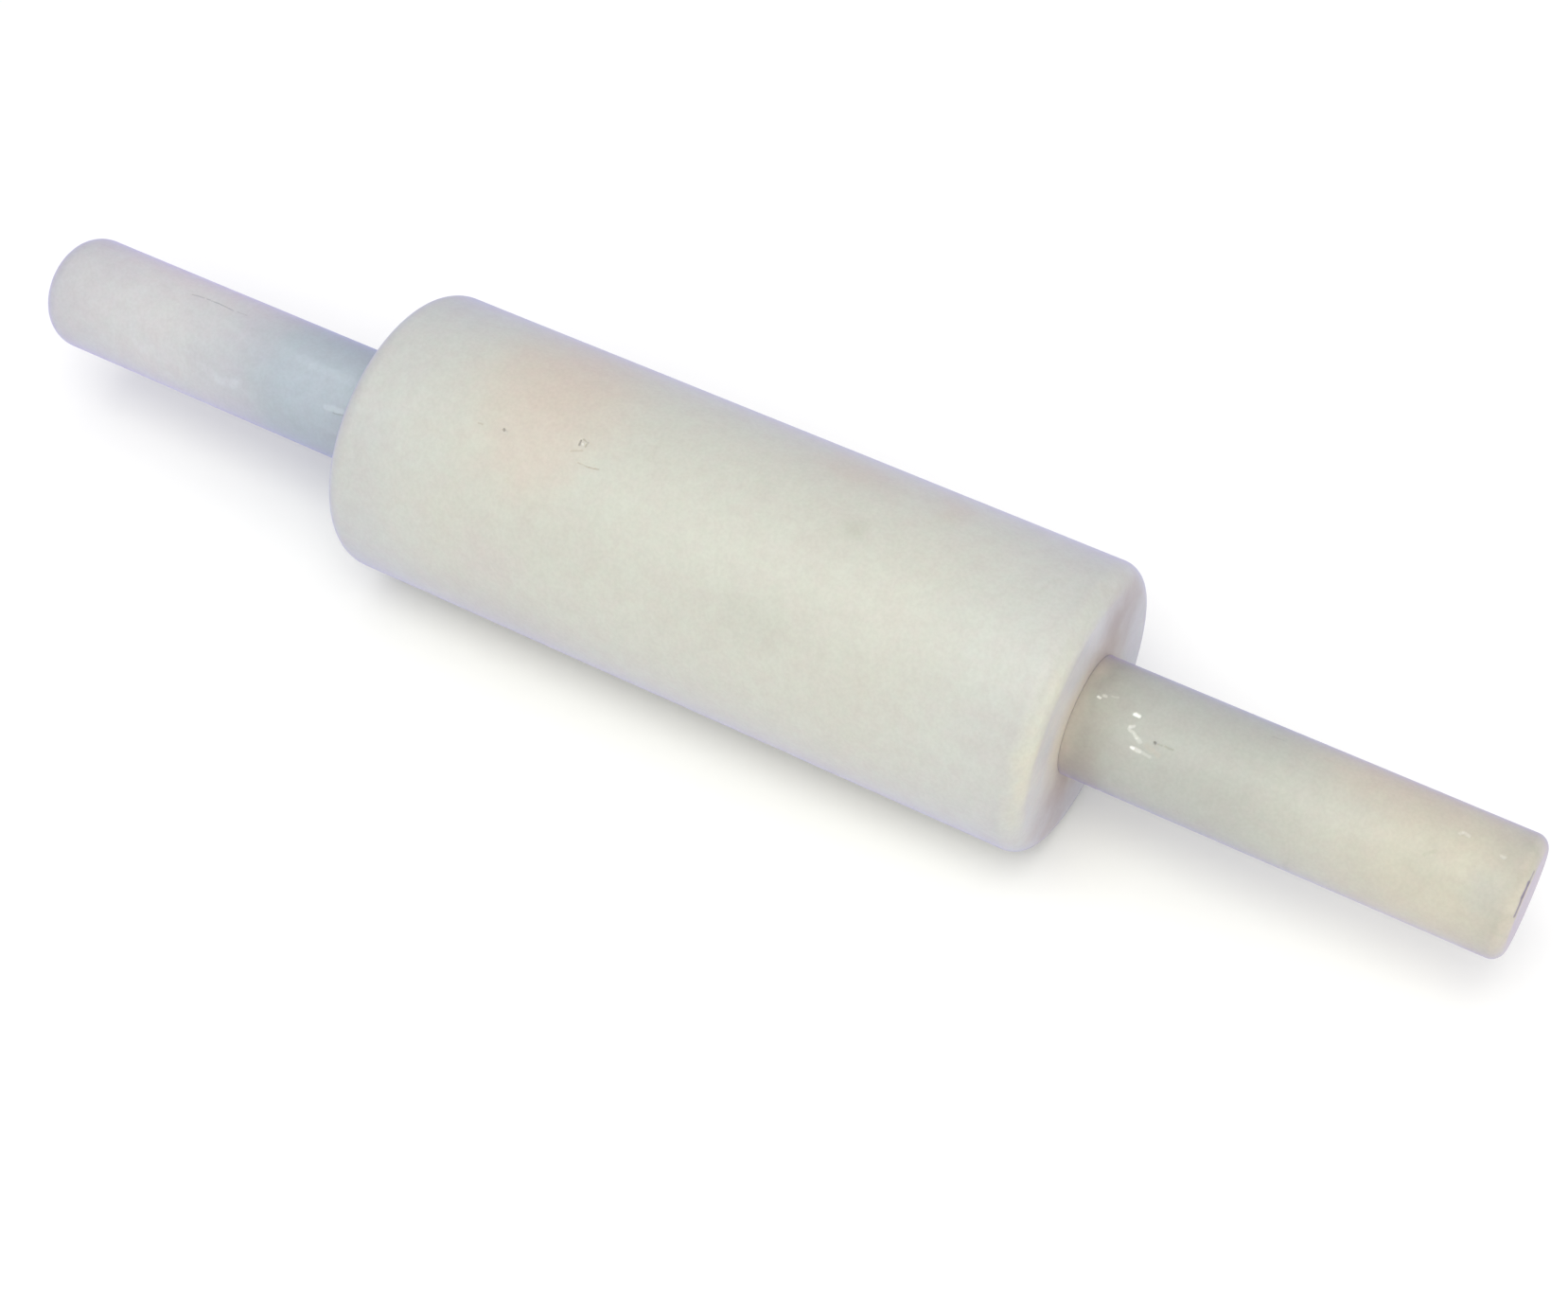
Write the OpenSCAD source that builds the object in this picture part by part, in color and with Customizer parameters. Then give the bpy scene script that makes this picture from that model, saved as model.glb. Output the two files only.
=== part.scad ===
// A marble rolling pin whose heavy barrel turns on a steel axle between two marble handles.
// The axle lies along X, the origin is at the barrel's middle on the axle, and +Z is up.
// Sizes are in millimetres.

/* [Barrel] */
// Diameter of the stone barrel
barrel_d = 55; // [44:0.5:70]
// Length of the stone barrel between its flat end faces
barrel_l = 144; // [100:1:260]
// Radius of the rounded rim at each end of the barrel
barrel_rim_r = 4.1; // [1:0.1:9]
// Radial gap between the axle and the hole drilled through the barrel
core_gap = 1.2; // [0.5:0.1:1.8]
// Radial gap round the widest piece that stands in the recess of an end face
recess_gap = 0.5; // [0.3:0.1:1]

/* [Handles] */
// Diameter of both handles
handle_d = 22.6; // [20:0.1:30]
// Length of each handle
handle_l = 80.5; // [60:0.5:120]
// Radius of the left handle's rounded outer end
left_tip_r = 5.5; // [1:0.1:8]
// Radius of the right handle's outer edge
right_tip_r = 2.5; // [1:0.1:8]
// Radius of the slight edge where each handle faces the barrel
inner_edge_r = 0.3; // [0.2:0.1:1.2]
// Gap between the barrel's end face and the handle
handle_gap = 0.2; // [0.2:0.05:0.8]

/* [Axle] */
// Diameter of the axle where the bushes run
axle_d = 10; // [9:0.5:12]
// Outside diameter of the thread at each end
thread_d = 8; // [5:0.5:8.5]
// Length of thread that reaches into a handle
thread_reach = 22; // [12:0.5:35]
// Chamfer at the tip of each thread
tip_chamfer = 0.8; // [0.3:0.1:1.2]

/* [Bushes] */
// Wall of the nylon sleeve
bush_wall = 2; // [1:0.1:2.5]
// Length of the sleeve inside the barrel
bush_l = 14; // [6:0.5:30]
// Thickness of the flange
flange_t = 2; // [1:0.1:4]
// How far the flange stands out past the sleeve
flange_lip = 1.6; // [0.8:0.1:2]
// Radial running clearance between the axle and the sleeve
run_gap = 0.05; // [0.02:0.01:0.1]
// Radial gap filled with bond, round the sleeves and the handle inserts
bond_gap = 0.04; // [0.02:0.01:0.1]
// Endways play between a flange and its thrust washer
end_play = 0.2; // [0.2:0.05:0.6]
// Chamfer that leads the sleeve into its seat
lead_in = 0.6; // [0.2:0.1:0.9]

/* [Washers and nuts] */
// Outside diameter of the thrust washers
washer_d = 17; // [13:0.5:18]
// Thickness of the thrust washers
washer_t = 1.2; // [0.8:0.1:2.5]
// Radial gap between the thread and the washer's hole
washer_gap = 0.2; // [0.05:0.05:0.3]
// Width across the flats of the lock nuts
nut_af = 13; // [12:0.5:14]
// Thickness of the lock nuts
nut_t = 4; // [2.5:0.1:6]
// Radial gap between the thread's crests and the plain holes that stand for nut threads
thread_gap = 0.02; // [0.01:0.01:0.05]

/* [Handle inserts] */
// Wall of the brass sleeve round the thread
insert_wall = 2; // [1.2:0.1:2.5]
// Length of the sleeve left free past the axle's tip
insert_spare = 3; // [1:0.5:8]
// Depth of the drilled hole past the sleeve
hole_spare = 1; // [0.5:0.1:4]
// Width and spacing of the bond grooves round the sleeve
groove_w = 2; // [1:0.1:4]
// Depth of the bond grooves
groove_depth = 0.5; // [0.2:0.1:0.8]
// Chamfer at each mouth of the sleeve
mouth_chamfer = 0.5; // [0.2:0.1:0.8]

/* [Hidden] */
$fn = 96;
cut_over = 1;
nut_sides = 6;
nut_half_angle = 180 / nut_sides;
nut_chamfer_angle = 30;
honed_marble = [0.84, 0.85, 0.79];
grey_marble = [0.76, 0.79, 0.83];
warm_marble = [0.80, 0.79, 0.70];
steel = [0.72, 0.73, 0.75];
nylon = [0.93, 0.92, 0.88];
brass = [0.80, 0.66, 0.36];

// Radii, from the axle outwards
axle_r = axle_d / 2;
thread_r = thread_d / 2;
bush_hole_r = axle_r + run_gap;
bush_r = bush_hole_r + bush_wall;
flange_r = bush_r + flange_lip;
washer_r = washer_d / 2;
nut_flat_r = nut_af / 2;
nut_corner_r = nut_flat_r / cos(nut_half_angle);
recess_r = max(flange_r, washer_r, nut_corner_r) + recess_gap;
thread_hole_r = thread_r + thread_gap;
insert_r = thread_hole_r + insert_wall;

// Places along X, outwards from the barrel's middle
barrel_end = barrel_l / 2;
handle_face = barrel_end + handle_gap;
nut_face = handle_face - nut_t;
shoulder = nut_face - washer_t;
flange_face = shoulder - end_play;
recess_floor = flange_face - flange_t;
thread_tip = handle_face + thread_reach;

// Height of the chamfer that takes off the nuts' corners
nut_chamfer_h = (nut_corner_r - nut_flat_r) * tan(nut_chamfer_angle);

// Lengths of what lies inside a handle
insert_l = thread_reach + insert_spare;
handle_hole_l = insert_l + hole_spare;
groove_count = floor((insert_l / groove_w - 1) / 2);
groove_first = (insert_l - (2 * groove_count - 1) * groove_w) / 2;

// Turns a shape drawn upwards from z = 0 to run outwards along +X from x
module outwards_from(x) {
    translate([x, 0, 0]) rotate([0, 90, 0]) children();
}

// Repeats a right-hand shape on the left
module on_left() {
    mirror([1, 0, 0]) children();
}

// Half section of a round bar, with its lower and upper outer edges rounded
module bar_section(r, l, low_r, high_r) {
    intersection() {
        square([r, l]);
        union() {
            translate([0, low_r]) square([r, l - low_r - high_r]);
            square([r - low_r, l - high_r]);
            translate([0, low_r]) square([r - high_r, l - low_r]);
            translate([r - low_r, low_r]) circle(r = low_r);
            translate([r - high_r, l - high_r]) circle(r = high_r);
        }
    }
}

// A straight round bar, or the hole for one, from z = from to z = to
module rod(r, from, to) {
    translate([0, 0, from]) cylinder(r = r, h = to - from);
}

// The barrel, drilled through, with a seat for a bush and a recess at each end
module barrel() {
    color(honed_marble)
    difference() {
        outwards_from(-barrel_end)
        rotate_extrude()
        bar_section(barrel_d / 2, barrel_l, barrel_rim_r, barrel_rim_r);
        outwards_from(0) rod(axle_r + core_gap, -barrel_end, barrel_end);
        bush_seat();
        on_left() bush_seat();
    }
}

// What is cut from the barrel's right end for the bush, the washer and the nut
module bush_seat() {
    outwards_from(0) {
        rod(bush_r + bond_gap, recess_floor - bush_l, barrel_end);
        rod(recess_r, recess_floor, barrel_end + cut_over);
    }
}

// The right-hand flanged sleeve, seated on the floor of the recess
module bush() {
    color(nylon)
    outwards_from(recess_floor)
    rotate_extrude()
    polygon([
        [bush_hole_r, -bush_l],
        [bush_r - lead_in, -bush_l],
        [bush_r, lead_in - bush_l],
        [bush_r, 0],
        [flange_r, 0],
        [flange_r, flange_t],
        [bush_hole_r, flange_t]
    ]);
}

module left_bush() {
    on_left() bush();
}

module right_bush() {
    bush();
}

// The right-hand threaded end of the axle, with a chamfered tip
module threaded_end() {
    outwards_from(shoulder)
    rotate_extrude()
    polygon([
        [0, -cut_over],
        [thread_r, -cut_over],
        [thread_r, thread_tip - shoulder - tip_chamfer],
        [thread_r - tip_chamfer, thread_tip - shoulder],
        [0, thread_tip - shoulder]
    ]);
}

// The axle, thick between its shoulders and threaded beyond them
module axle() {
    color(steel) {
        outwards_from(0) rod(axle_r, -shoulder, shoulder);
        threaded_end();
        on_left() threaded_end();
    }
}

// The right-hand washer, clamped between the axle's shoulder and the lock nut
module thrust_washer() {
    color(steel)
    outwards_from(shoulder)
    difference() {
        cylinder(r = washer_r, h = washer_t);
        rod(thread_r + washer_gap, -cut_over, washer_t + cut_over);
    }
}

module left_thrust_washer() {
    on_left() thrust_washer();
}

module right_thrust_washer() {
    thrust_washer();
}

// The right-hand lock nut, a hexagon with its corners turned off on both faces
module lock_nut() {
    color(steel)
    outwards_from(nut_face)
    difference() {
        intersection() {
            cylinder(r = nut_corner_r, h = nut_t, $fn = nut_sides);
            rotate_extrude()
            polygon([
                [0, 0],
                [nut_flat_r, 0],
                [nut_corner_r, nut_chamfer_h],
                [nut_corner_r, nut_t - nut_chamfer_h],
                [nut_flat_r, nut_t],
                [0, nut_t]
            ]);
        }
        rod(thread_hole_r, -cut_over, nut_t + cut_over);
    }
}

module left_lock_nut() {
    on_left() lock_nut();
}

module right_lock_nut() {
    lock_nut();
}

// A right-hand handle, drilled blind from its inner face
module handle(tip_r) {
    outwards_from(handle_face)
    difference() {
        rotate_extrude() bar_section(handle_d / 2, handle_l, inner_edge_r, tip_r);
        rod(insert_r + bond_gap, -cut_over, handle_hole_l);
    }
}

module left_handle() {
    color(grey_marble) on_left() handle(left_tip_r);
}

module right_handle() {
    color(warm_marble) handle(right_tip_r);
}

// The right-hand brass sleeve, flush with the handle's inner face so that the nut locks on it,
// with bond grooves outside and a chamfer at each mouth
module handle_insert() {
    color(brass)
    outwards_from(handle_face)
    rotate_extrude()
    difference() {
        translate([thread_hole_r, 0]) square([insert_wall, insert_l]);
        for (i = [0 : groove_count - 1])
            translate([insert_r - groove_depth, groove_first + 2 * i * groove_w])
            square([groove_depth + cut_over, groove_w]);
        polygon([
            [thread_hole_r - cut_over, -cut_over],
            [thread_hole_r + mouth_chamfer + cut_over, -cut_over],
            [thread_hole_r - cut_over, mouth_chamfer + cut_over]
        ]);
        polygon([
            [thread_hole_r - cut_over, insert_l + cut_over],
            [thread_hole_r + mouth_chamfer + cut_over, insert_l + cut_over],
            [thread_hole_r - cut_over, insert_l - mouth_chamfer - cut_over]
        ]);
    }
}

module left_handle_insert() {
    on_left() handle_insert();
}

module right_handle_insert() {
    handle_insert();
}

barrel();
left_bush();
right_bush();
axle();
left_thrust_washer();
right_thrust_washer();
left_lock_nut();
right_lock_nut();
left_handle();
right_handle();
left_handle_insert();
right_handle_insert();
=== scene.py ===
"""The looks of a marble rolling pin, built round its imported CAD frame.

The axle lies along X, the barrel's middle is the origin and +Z is up. Sizes are written in
millimetres, and become metres where a mesh, a material, a lamp or the camera is made.
"""

import logging
import math
import random
from abc import ABC, abstractmethod
from dataclasses import dataclass
from enum import Enum
from typing import Any, ClassVar, Iterable, NamedTuple, Union

import bmesh
import bpy
import numpy as np
from mathutils import Matrix, Vector, noise

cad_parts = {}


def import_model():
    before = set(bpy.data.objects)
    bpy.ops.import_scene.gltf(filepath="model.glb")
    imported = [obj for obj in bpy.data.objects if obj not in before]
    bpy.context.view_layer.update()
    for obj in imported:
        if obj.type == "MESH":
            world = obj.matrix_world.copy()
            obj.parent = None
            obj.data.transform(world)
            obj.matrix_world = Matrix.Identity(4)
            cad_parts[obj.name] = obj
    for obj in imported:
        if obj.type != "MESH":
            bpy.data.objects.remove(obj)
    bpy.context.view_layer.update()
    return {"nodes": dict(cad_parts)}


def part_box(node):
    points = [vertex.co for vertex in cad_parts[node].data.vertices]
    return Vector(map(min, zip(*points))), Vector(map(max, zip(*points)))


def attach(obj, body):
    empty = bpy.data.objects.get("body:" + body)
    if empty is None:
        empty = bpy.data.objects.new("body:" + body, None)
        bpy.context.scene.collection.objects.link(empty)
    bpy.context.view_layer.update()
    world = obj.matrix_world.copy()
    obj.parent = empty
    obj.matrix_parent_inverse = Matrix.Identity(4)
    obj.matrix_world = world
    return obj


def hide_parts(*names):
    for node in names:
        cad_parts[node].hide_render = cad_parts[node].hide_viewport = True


Colour = tuple[float, float, float]
Step = tuple[float, float]
SectionPoint = tuple[float, float]

MM = 0.001
FULL_TURN = 360.0
NEARLY_NOTHING = 1e-6
MEAN_NOISE = 0.5
ACROSS_AXLE = (0.0, 1.0, 1.0)
# The fewest gaps in a stretch of close stations
FEWEST_STEPS = 2
# Shares of a flaw's step: nearer stations are merged, and plain ones keep at least this gap
MERGED_BELOW = 0.45
PLAIN_GAP = 0.6
PHOTO_WIDTH = 1657
LOG = logging.getLogger("rolling_pin")


class Body(Enum):
    """The two bodies of the pin, which turn on each other."""

    HANDLES = "handles"
    BARREL = "barrel"


class Side(Enum):
    """The two ends of the pin, as the sign of X."""

    LEFT = -1
    RIGHT = 1

    @property
    def word(self) -> str:
        """The side's name, as in the names of the CAD nodes."""
        return self.name.lower()


class Slot(Enum):
    """Names for the material slots."""

    BARREL_MARBLE = "barrel_marble"
    LEFT_HANDLE_MARBLE = "left_handle_marble"
    RIGHT_HANDLE_MARBLE = "right_handle_marble"


class MixSocket(Enum):
    """Places of the sockets on Blender's Mix node when it mixes colours."""

    SHARE = 0
    FIRST_COLOUR = 6
    SECOND_COLOUR = 7
    COLOUR_OUT = 2


class NoiseSocket(Enum):
    """Places of the outputs on Blender's Noise Texture node."""

    VALUE = 0
    COLOUR = 1


class Tint(Enum):
    """Colours of the flaws, of painted glints and of painted shade lines, in linear light."""

    DARK_PIT = (0.04, 0.04, 0.03)
    OLIVE_LINE = (0.30, 0.30, 0.22)
    BROWN_LINE = (0.36, 0.29, 0.20)
    GREY_LINE = (0.22, 0.23, 0.24)
    # Pale chips; the pale spots on the right handle are painted glints.
    PALE_CHIP_GLINT = (0.88, 0.90, 0.86)
    # A pale streak, painted as a soft glint.
    PALE_GLINT_STREAK = (0.72, 0.75, 0.80)
    PALE_VEIN = (0.54, 0.62, 0.66)
    # A dark line on the tip's edge: a small chip, darkened as painted shade.
    CHIP_SHADE_LINE = (0.20, 0.18, 0.22)
    TAN_SMEAR = (0.52, 0.44, 0.36)
    OLIVE_SMEAR = (0.38, 0.40, 0.30)


class Stretch(NamedTuple):
    """A part of a row of stations where they lie close together, because of a flaw.

    Attributes:
        low: where it begins.
        high: where it ends.
        step: the widest gap between two of its stations.
    """

    low: float
    high: float
    step: float


@dataclass(frozen=True)
class Spot:
    """A place on a turned stone.

    Attributes:
        along: millimetres along +X from the barrel's middle.
        turn: degrees round the axle, 0 at the front (-Y) and 90 at the top.
        radius: millimetres from the axle's middle line.
    """

    along: float
    turn: float
    radius: float

    def point(self) -> np.ndarray:
        """The place as X, Y and Z in millimetres."""
        angle = math.radians(self.turn)
        return np.array([self.along, -self.radius * math.cos(angle), self.radius * math.sin(angle)])


@dataclass(frozen=True)
class Mark:
    """A small flaw, painted glint or painted shade line in a stone, drawn as a rounded stroke from
    one spot to another.

    Attributes:
        start: where the stroke begins.
        end: where the stroke ends.
        half_width: half the stroke's width, in millimetres.
        depth: how far the stone is broken away at the stroke's middle, in millimetres.
        tint: colour of the stone in the stroke.
        strength: share of the tint at the stroke's middle.
    """

    start: Spot
    end: Spot
    half_width: float
    depth: float
    tint: Tint
    strength: float

    MARGIN = 1.3
    STEPS_IN_HALF_WIDTH = 2.2

    def run(self) -> np.ndarray:
        """The way from its start to its end, in millimetres."""
        return self.end.point() - self.start.point()

    def squared_length(self) -> float:
        """Its length times itself, which is never quite 0."""
        return max(float(self.run() @ self.run()), NEARLY_NOTHING)

    def stretch(self, first: float, second: float, wall: float = 0.0) -> Stretch:
        """Finds where stations have to lie close together for it.

        Args:
            first: its start on the row of stations.
            second: its end on that row.
            wall: the wall's radius where the stations are turns in degrees, or 0.

        Returns:
            The stretch, a little longer than the flaw.
        """
        margin = self.MARGIN * self.half_width
        step = self.half_width / self.STEPS_IN_HALF_WIDTH
        if wall:
            margin, step = math.degrees(margin / wall), math.degrees(step / wall)
        return Stretch(min(first, second) - margin, max(first, second) + margin, step)


@dataclass(frozen=True)
class TintPatch:
    """A soft patch of another tint in a stone: the marble's own colour, and in some places painted
    light and painted shade.

    Attributes:
        centre: the patch's middle.
        reach_along: how far it reaches along the axle, in millimetres.
        reach_across: how far it reaches across the axle, in millimetres.
        tint: colour of the patch.
        strength: share of the tint at the patch's middle.
    """

    centre: Spot
    reach_along: float
    reach_across: float
    tint: Colour
    strength: float


@dataclass(frozen=True)
class Band:
    """The stone's own colour at one place along the axle."""

    along: float
    colour: Colour


@dataclass(frozen=True)
class Polish:
    """How far a stone's surface was rubbed down.

    Attributes:
        roughness: the surface's mean roughness.
        smear: how much the roughness wanders.
        grain_height: height of the stone's grain in the surface, in millimetres.
        sheen: weight of the fine dust that shows along the stone's edges.
        sheen_tint: colour of that dust.
    """

    roughness: float
    smear: float
    grain_height: float
    sheen: float = 0.30
    sheen_tint: Colour = (0.20, 0.15, 0.95)


@dataclass(frozen=True)
class Grain:
    """A soft noise, and the step that makes a mask of it.

    Attributes:
        size: size of its lumps, in millimetres.
        detail: how many finer layers it has.
        rough: how strong the finer layers are.
        low: the noise at which the mask begins.
        high: the noise at which the mask is full.
    """

    size: float
    detail: float = 3.0
    rough: float = 0.5
    low: float = 0.0
    high: float = 1.0


@dataclass(frozen=True)
class Drift:
    """How noise pushes places about.

    Attributes:
        size: size of the noise's lumps, in millimetres.
        reach: how far the places are pushed, in millimetres.
    """

    size: float
    reach: float


class Wire:
    """An output socket of a shader node, with the arithmetic of plain numbers."""

    def __init__(self, bench: "Bench", socket: bpy.types.NodeSocket) -> None:
        """Keeps the socket with the bench that makes its nodes.

        Args:
            bench: the bench whose tree holds the socket.
            socket: the output socket.
        """
        self.bench = bench
        self.socket = socket

    def _math(self, operation: str, first: "Value", second: "Value", clamp: bool = False) -> "Wire":
        """Adds one Math node.

        Args:
            operation: the Math node's operation.
            first: its first value.
            second: its second value.
            clamp: whether the result is held between 0 and 1.

        Returns:
            The node's result.
        """
        settings = {"operation": operation, "use_clamp": clamp}
        return self.bench.node("ShaderNodeMath", settings, {0: first, 1: second})

    def __add__(self, other: "Value") -> "Wire":
        """This value plus another."""
        return self._math("ADD", self, other)

    def __radd__(self, other: "Value") -> "Wire":
        """Another value plus this one."""
        return self._math("ADD", other, self)

    def __sub__(self, other: "Value") -> "Wire":
        """This value less another."""
        return self._math("SUBTRACT", self, other)

    def __rsub__(self, other: "Value") -> "Wire":
        """Another value less this one."""
        return self._math("SUBTRACT", other, self)

    def __mul__(self, other: "Value") -> "Wire":
        """This value times another."""
        return self._math("MULTIPLY", self, other)

    def __rmul__(self, other: "Value") -> "Wire":
        """Another value times this one."""
        return self._math("MULTIPLY", other, self)

    def __truediv__(self, other: "Value") -> "Wire":
        """This value over another."""
        return self._math("DIVIDE", self, other)

    def size(self) -> "Wire":
        """The value without its sign."""
        return self._math("ABSOLUTE", self, 0.0)

    def held(self) -> "Wire":
        """The value held between 0 and 1."""
        return self._math("ADD", self, 0.0, clamp=True)

    def rises(self, low: float, high: float) -> "Wire":
        """Makes a smooth step up from 0 to 1.

        Args:
            low: value where the step begins.
            high: value where the step ends.

        Returns:
            The step.
        """
        settings = {"interpolation_type": "SMOOTHSTEP", "clamp": True}
        inputs = {"Value": self, "From Min": low, "From Max": high}
        return self.bench.node("ShaderNodeMapRange", settings, inputs)


Value = Union[Wire, int, float]
Input = Union[Wire, int, float, tuple]


class Bench:
    """The node tree of one material, with the moves that all finishes share."""

    DRIFT_DETAIL = 2.0
    RING_SLANT = 0.05

    def __init__(self, name: str) -> None:
        """Starts an empty material.

        Args:
            name: the material's name.
        """
        self.material = bpy.data.materials.new(name)
        self.material.use_nodes = True
        self.tree = self.material.node_tree
        self.tree.nodes.clear()
        in_metres = self.node("ShaderNodeTexCoord", {}, {}, "Object")
        self.place = self.vector("SCALE", in_metres, scale=1 / MM)

    def node(
        self,
        kind: str,
        settings: dict[str, Any],
        inputs: dict[Union[int, str], Input],
        output: Union[int, str] = 0,
    ) -> Wire:
        """Adds a node.

        Args:
            kind: the node's type.
            settings: what is set on the node before its sockets; "stops" fills a colour ramp.
            inputs: values or wires by the name or number of the socket.
            output: name or number of the output that is wanted.

        Returns:
            That output.
        """
        made = self.tree.nodes.new(kind)
        for key, setting in settings.items():
            if key == "stops":
                self._fill_ramp(made.color_ramp, setting)
            else:
                setattr(made, key, setting)
        for key, value in inputs.items():
            if isinstance(value, Wire):
                self.tree.links.new(value.socket, made.inputs[key])
            else:
                made.inputs[key].default_value = value
        return Wire(self, made.outputs[output])

    @staticmethod
    def _fill_ramp(ramp: bpy.types.ColorRamp, stops: list[tuple[float, Colour]]) -> None:
        """Gives a colour ramp its stops.

        Args:
            ramp: the ramp.
            stops: position and colour of each stop, in order.
        """
        while len(ramp.elements) > 1:
            ramp.elements.remove(ramp.elements[-1])
        ramp.elements[0].position = stops[0][0]
        ramp.elements[0].color = (*stops[0][1], 1.0)
        for position, colour in stops[1:]:
            ramp.elements.new(position).color = (*colour, 1.0)

    def vector(
        self,
        operation: str,
        first: Input,
        second: Input = (0.0, 0.0, 0.0),
        scale: Value = 1.0,
    ) -> Wire:
        """Adds a Vector Math node.

        Args:
            operation: the node's operation.
            first: its first vector.
            second: its second vector.
            scale: its scale, where the operation has one.

        Returns:
            The result, which is a number for a length or a dot product.
        """
        gives_number = operation in ("LENGTH", "DOT_PRODUCT")
        output = "Value" if gives_number else "Vector"
        inputs = {0: first, "Scale": scale} if operation == "SCALE" else {0: first, 1: second}
        return self.node("ShaderNodeVectorMath", {"operation": operation}, inputs, output)

    def mixed(self, share: Value, first: Input, second: Input, blend: str = "MIX") -> Wire:
        """Mixes two colours.

        Args:
            share: share of the second colour.
            first: the first colour.
            second: the second colour.
            blend: how the second colour meets the first.

        Returns:
            The mixed colour.
        """
        inputs = {
            MixSocket.SHARE.value: share,
            MixSocket.FIRST_COLOUR.value: self._paint(first),
            MixSocket.SECOND_COLOUR.value: self._paint(second),
        }
        settings = {"data_type": "RGBA", "clamp_factor": True, "blend_type": blend}
        return self.node("ShaderNodeMix", settings, inputs, MixSocket.COLOUR_OUT.value)

    def stained(self, share: Value, colour: Wire, stain: Colour) -> Wire:
        """Lays a stain over a colour; ring tints also lay painted shade this way.

        Args:
            share: how much of the stain there is.
            colour: the colour under it.
            stain: what the full stain leaves of red, green and blue.

        Returns:
            The stained colour.
        """
        return self.mixed(share, colour, stain, "MULTIPLY")

    @staticmethod
    def _paint(colour: Input) -> Input:
        """A colour with its alpha, or the wire as it is."""
        return colour if isinstance(colour, Wire) else (*colour, 1.0)

    def noise(self, place: Wire, grain: Grain) -> Wire:
        """Adds a soft noise between 0 and 1.

        Args:
            place: where the noise is read, in millimetres.
            grain: what it is like.

        Returns:
            The noise.
        """
        inputs = {
            "Vector": place,
            "Scale": 1.0 / grain.size,
            "Detail": grain.detail,
            "Roughness": grain.rough,
        }
        return self.node("ShaderNodeTexNoise", {}, inputs, NoiseSocket.VALUE.value)

    def mask(self, place: Wire, grain: Grain) -> Wire:
        """The mask that a noise's own step makes of it."""
        return self.noise(place, grain).rises(grain.low, grain.high)

    def drifted(self, drift: Drift) -> Wire:
        """Pushes the shaded place about by noise.

        Args:
            drift: how it is pushed.

        Returns:
            The pushed place, in millimetres.
        """
        inputs = {"Vector": self.place, "Scale": 1.0 / drift.size, "Detail": self.DRIFT_DETAIL}
        push = self.node("ShaderNodeTexNoise", {}, inputs, NoiseSocket.COLOUR.value)
        centred = self.vector("SUBTRACT", push, (MEAN_NOISE, MEAN_NOISE, MEAN_NOISE))
        moved = self.vector("SCALE", centred, scale=drift.reach / MEAN_NOISE)
        return self.vector("ADD", self.place, moved)

    def part(self, place: Wire, axis: str) -> Wire:
        """One part of a vector: X, Y or Z."""
        return self.node("ShaderNodeSeparateXYZ", {}, {0: place}, axis)

    def radius(self, place: Wire) -> Wire:
        """Distance of a place from the axle's middle line, in millimetres."""
        return self.vector("LENGTH", self.vector("MULTIPLY", place, ACROSS_AXLE))

    def turned_place(self, fineness: float) -> Wire:
        """Finds a place in which noise becomes the fine rings that a lathe leaves.

        Args:
            fineness: how many rings there are to a millimetre.

        Returns:
            The place: along the axle, from the axle, and a little of the height.
        """
        along = self.part(self.place, "X") * fineness
        out = self.radius(self.place) * fineness
        height = self.part(self.place, "Z") * self.RING_SLANT
        return self.node("ShaderNodeCombineXYZ", {}, {0: along, 1: out, 2: height})

    def bump(self, height: Wire, distance: float) -> Wire:
        """Adds a Bump node.

        Args:
            height: the height, from 0 to 1.
            distance: what a height of 1 stands for, in millimetres.

        Returns:
            The bumped normal.
        """
        inputs = {"Strength": 1.0, "Distance": distance * MM, "Height": height}
        return self.node("ShaderNodeBump", {}, inputs)

    def surface(self, constants: dict[str, Input], wires: dict[str, Wire]) -> bpy.types.Material:
        """Ends the tree with the surface shader.

        Args:
            constants: what is the same all over the surface, set on the shader itself.
            wires: what changes over the surface.

        Returns:
            The finished material.
        """
        shader = self.node("ShaderNodeBsdfPrincipled", {}, {**constants, **wires})
        out = self.tree.nodes.new("ShaderNodeOutputMaterial")
        self.tree.links.new(shader.socket, out.inputs["Surface"])
        return self.material


@dataclass(frozen=True)
class RingTint:
    """A ring-shaped tint on a stone; the pin has residue and painted shade at the barrel and a
    paler sawn face at a tip.

    Attributes:
        along: where the ring is, in millimetres along X.
        radius: the ring's radius, in millimetres.
        core: how far from the ring the tint is at its strongest, in millimetres.
        reach: how far from the ring the tint fades away, in millimetres.
        stain: what the tint leaves of red, green and blue where it is strongest.
        roughening: what it adds to the stone's roughness there.
    """

    along: float
    radius: float
    core: float
    reach: float
    stain: Colour
    roughening: float = 0.0

    DRIFT = Drift(5.0, 0.6)

    def mask(self, bench: Bench) -> Wire:
        """Finds how strong the tint is.

        Args:
            bench: the material's bench.

        Returns:
            The strength, from 0 to 1.
        """
        place = bench.drifted(self.DRIFT)
        sideways = bench.part(place, "X") - self.along
        outwards = bench.radius(place) - self.radius
        far = bench.node("ShaderNodeCombineXYZ", {}, {0: sideways, 1: outwards})
        return 1.0 - bench.vector("LENGTH", far).rises(self.core, self.reach)


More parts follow.
